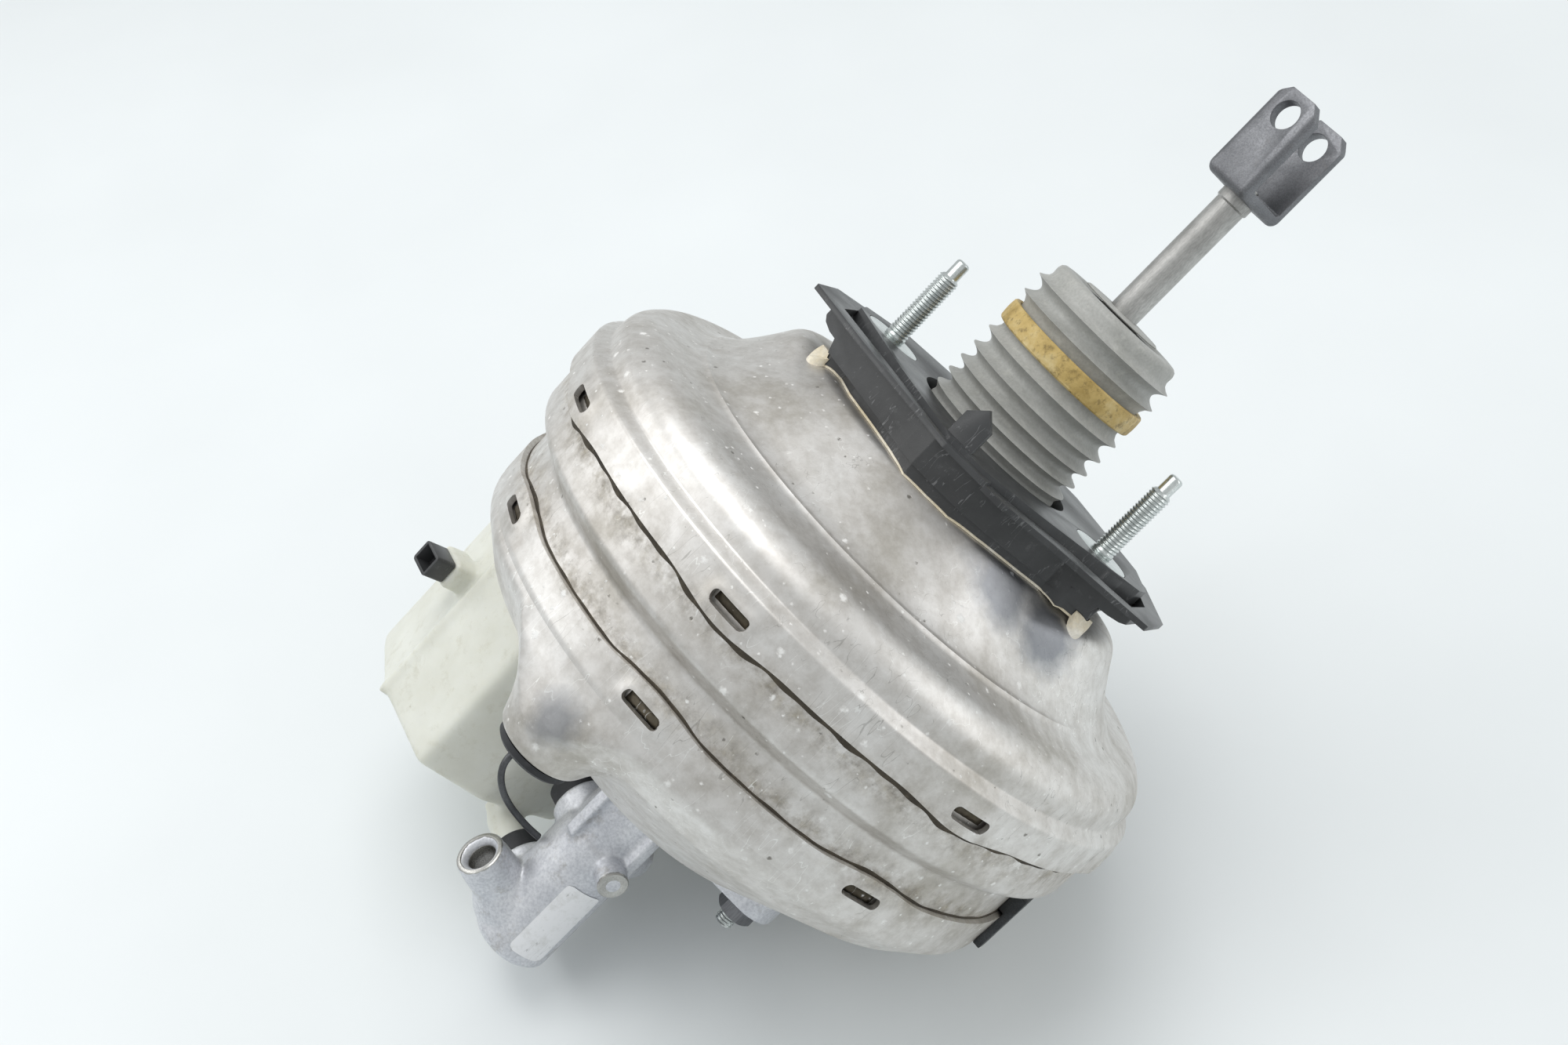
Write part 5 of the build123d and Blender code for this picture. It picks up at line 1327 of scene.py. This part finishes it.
def turned_about(name, line, origin_mm, direction, columns=64):
    """A bright turned face about any axis, from (distance along it, radius) points."""
    direction = Vector(direction).normalized()
    across = direction.orthogonal().normalized()
    upward = direction.cross(across)
    points = []
    for along, radius in line:
        for j in range(columns):
            angle = 2 * math.pi * j / columns
            out = across * math.cos(angle) + upward * math.sin(angle)
            points.append(tuple(Vector(origin_mm) + direction * along + out * radius))
    baked(new_piece(name, points, grid_faces(len(line), columns), "housing", "valve_metal"), 40.0)


seat_line = [(-12.0, 5.3), (-3.0, 5.3), (-2.4, 5.6), (-0.2, 7.2), (0.12, 7.5), (0.14, 8.7),
             (-0.1, 9.0), (-0.6, 9.1)]
turned_about("outlet_seat", seat_line, PORT_ROOT + PORT_OUT * PORT_REACH, PORT_OUT)

STOP_X, STOP_ANGLE, STOP_REACH = -204.0, math.radians(-107.0), 24.0
stop_out = Vector((0.0, math.cos(STOP_ANGLE), math.sin(STOP_ANGLE)))
stop_line = [(-1.2, 5.7), (-0.4, 5.7), (0.05, 5.3), (0.12, 3.0), (-0.1, 2.4), (-0.15, 0.05)]
turned_about("bore_stop_face", stop_line, Vector((STOP_X, 0.0, 0.0)) + stop_out * STOP_REACH, stop_out)
print("casting:", len(casting.data.vertices), "points")

# %% [markdown]
# ## The wire bail
# Spring wire can't be bent to a corner, so the bail that holds the tank down runs on a smooth
# curve. A NURBS curve passes near its points and never kinks, and its bevel gives it the wire's
# thickness.

# %% Wire bail
# Half of the wire's route: x from the foot of the bail, then y and z.
WIRE_MM = 2.6
BAIL_HALF = [(0.0, -12.8, 12.2), (1.5, -20.0, 14.0), (7.0, -34.0, 19.5), (15.0, -41.0, 23.5),
             (23.0, -40.5, 25.5), (24.6, -30.0, 28.5), (24.7, -14.0, 31.5)]


def wire_bail(foot_x):
    """The bail as a bevelled NURBS curve, mirrored in the middle plane, turned into a mesh."""
    data = bpy.data.curves.new("tank_bail", "CURVE")
    data.dimensions = "3D"
    data.bevel_depth = WIRE_MM / 2 * MM
    data.bevel_resolution = 6
    data.resolution_u = 16
    data.use_fill_caps = True
    spline = data.splines.new("NURBS")
    line = BAIL_HALF + [(x, -y, z) for x, y, z in reversed(BAIL_HALF)]
    spline.points.add(len(line) - 1)
    for point, (x, y, z) in zip(spline.points, line):
        point.co = ((foot_x + x) * MM, y * MM, z * MM, 1.0)
    spline.order_u = 3
    spline.use_endpoint_u = True
    item = bpy.data.objects.new("tank_bail_curve", data)
    bpy.context.collection.objects.link(item)
    graph = bpy.context.evaluated_depsgraph_get()
    mesh = bpy.data.meshes.new_from_object(item.evaluated_get(graph))
    bpy.data.objects.remove(item)
    piece = linked_piece("tank_bail", mesh, finish["spring_steel"])
    mesh.shade_smooth()
    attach(piece, body_of["reservoir_clip"])
    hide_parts("reservoir_clip")


clip_low, clip_high = span("reservoir_clip")
wire_bail(clip_low[0] + 0.5)
print("bail from x", round(clip_low[0], 1), "to", round(clip_high[0], 1))

# %% [markdown]
# ## A bare label
# A white sticker of coated paper is wrapped on the cylinder. It stays blank. It is a patch of the
# cylinder's own curve, lifted by its thickness, with round corners and slightly lifted ends.

# %% Label
LABEL_X = (-251.0, -216.5)
LABEL_ANGLES = (-134.0, -80.0)
LABEL_RADIUS = 16.42
LABEL_CORNER = 2.2
LABEL_CURL = 0.25           # lift of the two ends, over their last 1.5 mm


def coated_paper():
    """Coated paper: white, faintly soiled over 6 mm, creased over 3 mm, with a low sheen."""
    material, tree, place = new_material("coated_paper")
    soil = blotches(tree, place, 6.0, 0.5, 0.72, 0.55)
    colour = add(tree, "Mix", {0: soil, 6: srgb("#ecedef"), 7: srgb("#c3c3bf")}, **OVER)
    rubbed = scratches(tree, place, 20.0, 0.4, (0.3, 0.2, 0.6), 0.5)
    colour = add(tree, "Mix", {0: rubbed, 6: colour, 7: srgb("#9a9b9b")}, **OVER)
    rough = add(tree, "MapRange", {"Value": soil, "To Min": 0.42, "To Max": 0.7})
    creases = add(tree, "TexNoise", {"Vector": place, "Scale": per_mm(3), "Detail": 3.0})
    skin = add(tree, "Bump", {"Height": creases, "Distance": 0.05 * MM})
    add(tree, "OutputMaterial", {"Surface": add(tree, "BsdfPrincipled", {
        "Base Color": colour, "Roughness": rough, "IOR": 1.5, "Normal": skin})})
    return material


def label_patch():
    """A blank patch with round corners on the cylinder's curve."""
    rows, columns = 45, 21
    points = []
    middle, half = sum(LABEL_ANGLES) / 2, (LABEL_ANGLES[1] - LABEL_ANGLES[0]) / 2
    for i in range(rows):
        x = LABEL_X[0] + (LABEL_X[1] - LABEL_X[0]) * i / (rows - 1)
        near = min(x - LABEL_X[0], LABEL_X[1] - x)
        cut = LABEL_CORNER - math.sqrt(LABEL_CORNER ** 2 - max(LABEL_CORNER - near, 0.0) ** 2)
        reach = half - math.degrees(cut / LABEL_RADIUS)
        out = LABEL_RADIUS + LABEL_CURL * max(0.0, 1 - near / 1.5) ** 2
        for j in range(columns):
            angle = math.radians(middle + reach * (2 * j / (columns - 1) - 1))
            points.append((x, out * math.cos(angle), out * math.sin(angle)))
    piece = new_piece("blank_label", points, strip_faces(rows, columns), "housing", "nylon")
    thicken(piece, 0.1, 1.0)
    piece.data.materials[0] = finish["coated_paper"]
    baked(piece)


finish["coated_paper"] = coated_paper()
label_patch()
print("label of", round(LABEL_X[1] - LABEL_X[0], 1), "by",
      round(math.radians(LABEL_ANGLES[1] - LABEL_ANGLES[0]) * LABEL_RADIUS, 1), "mm")
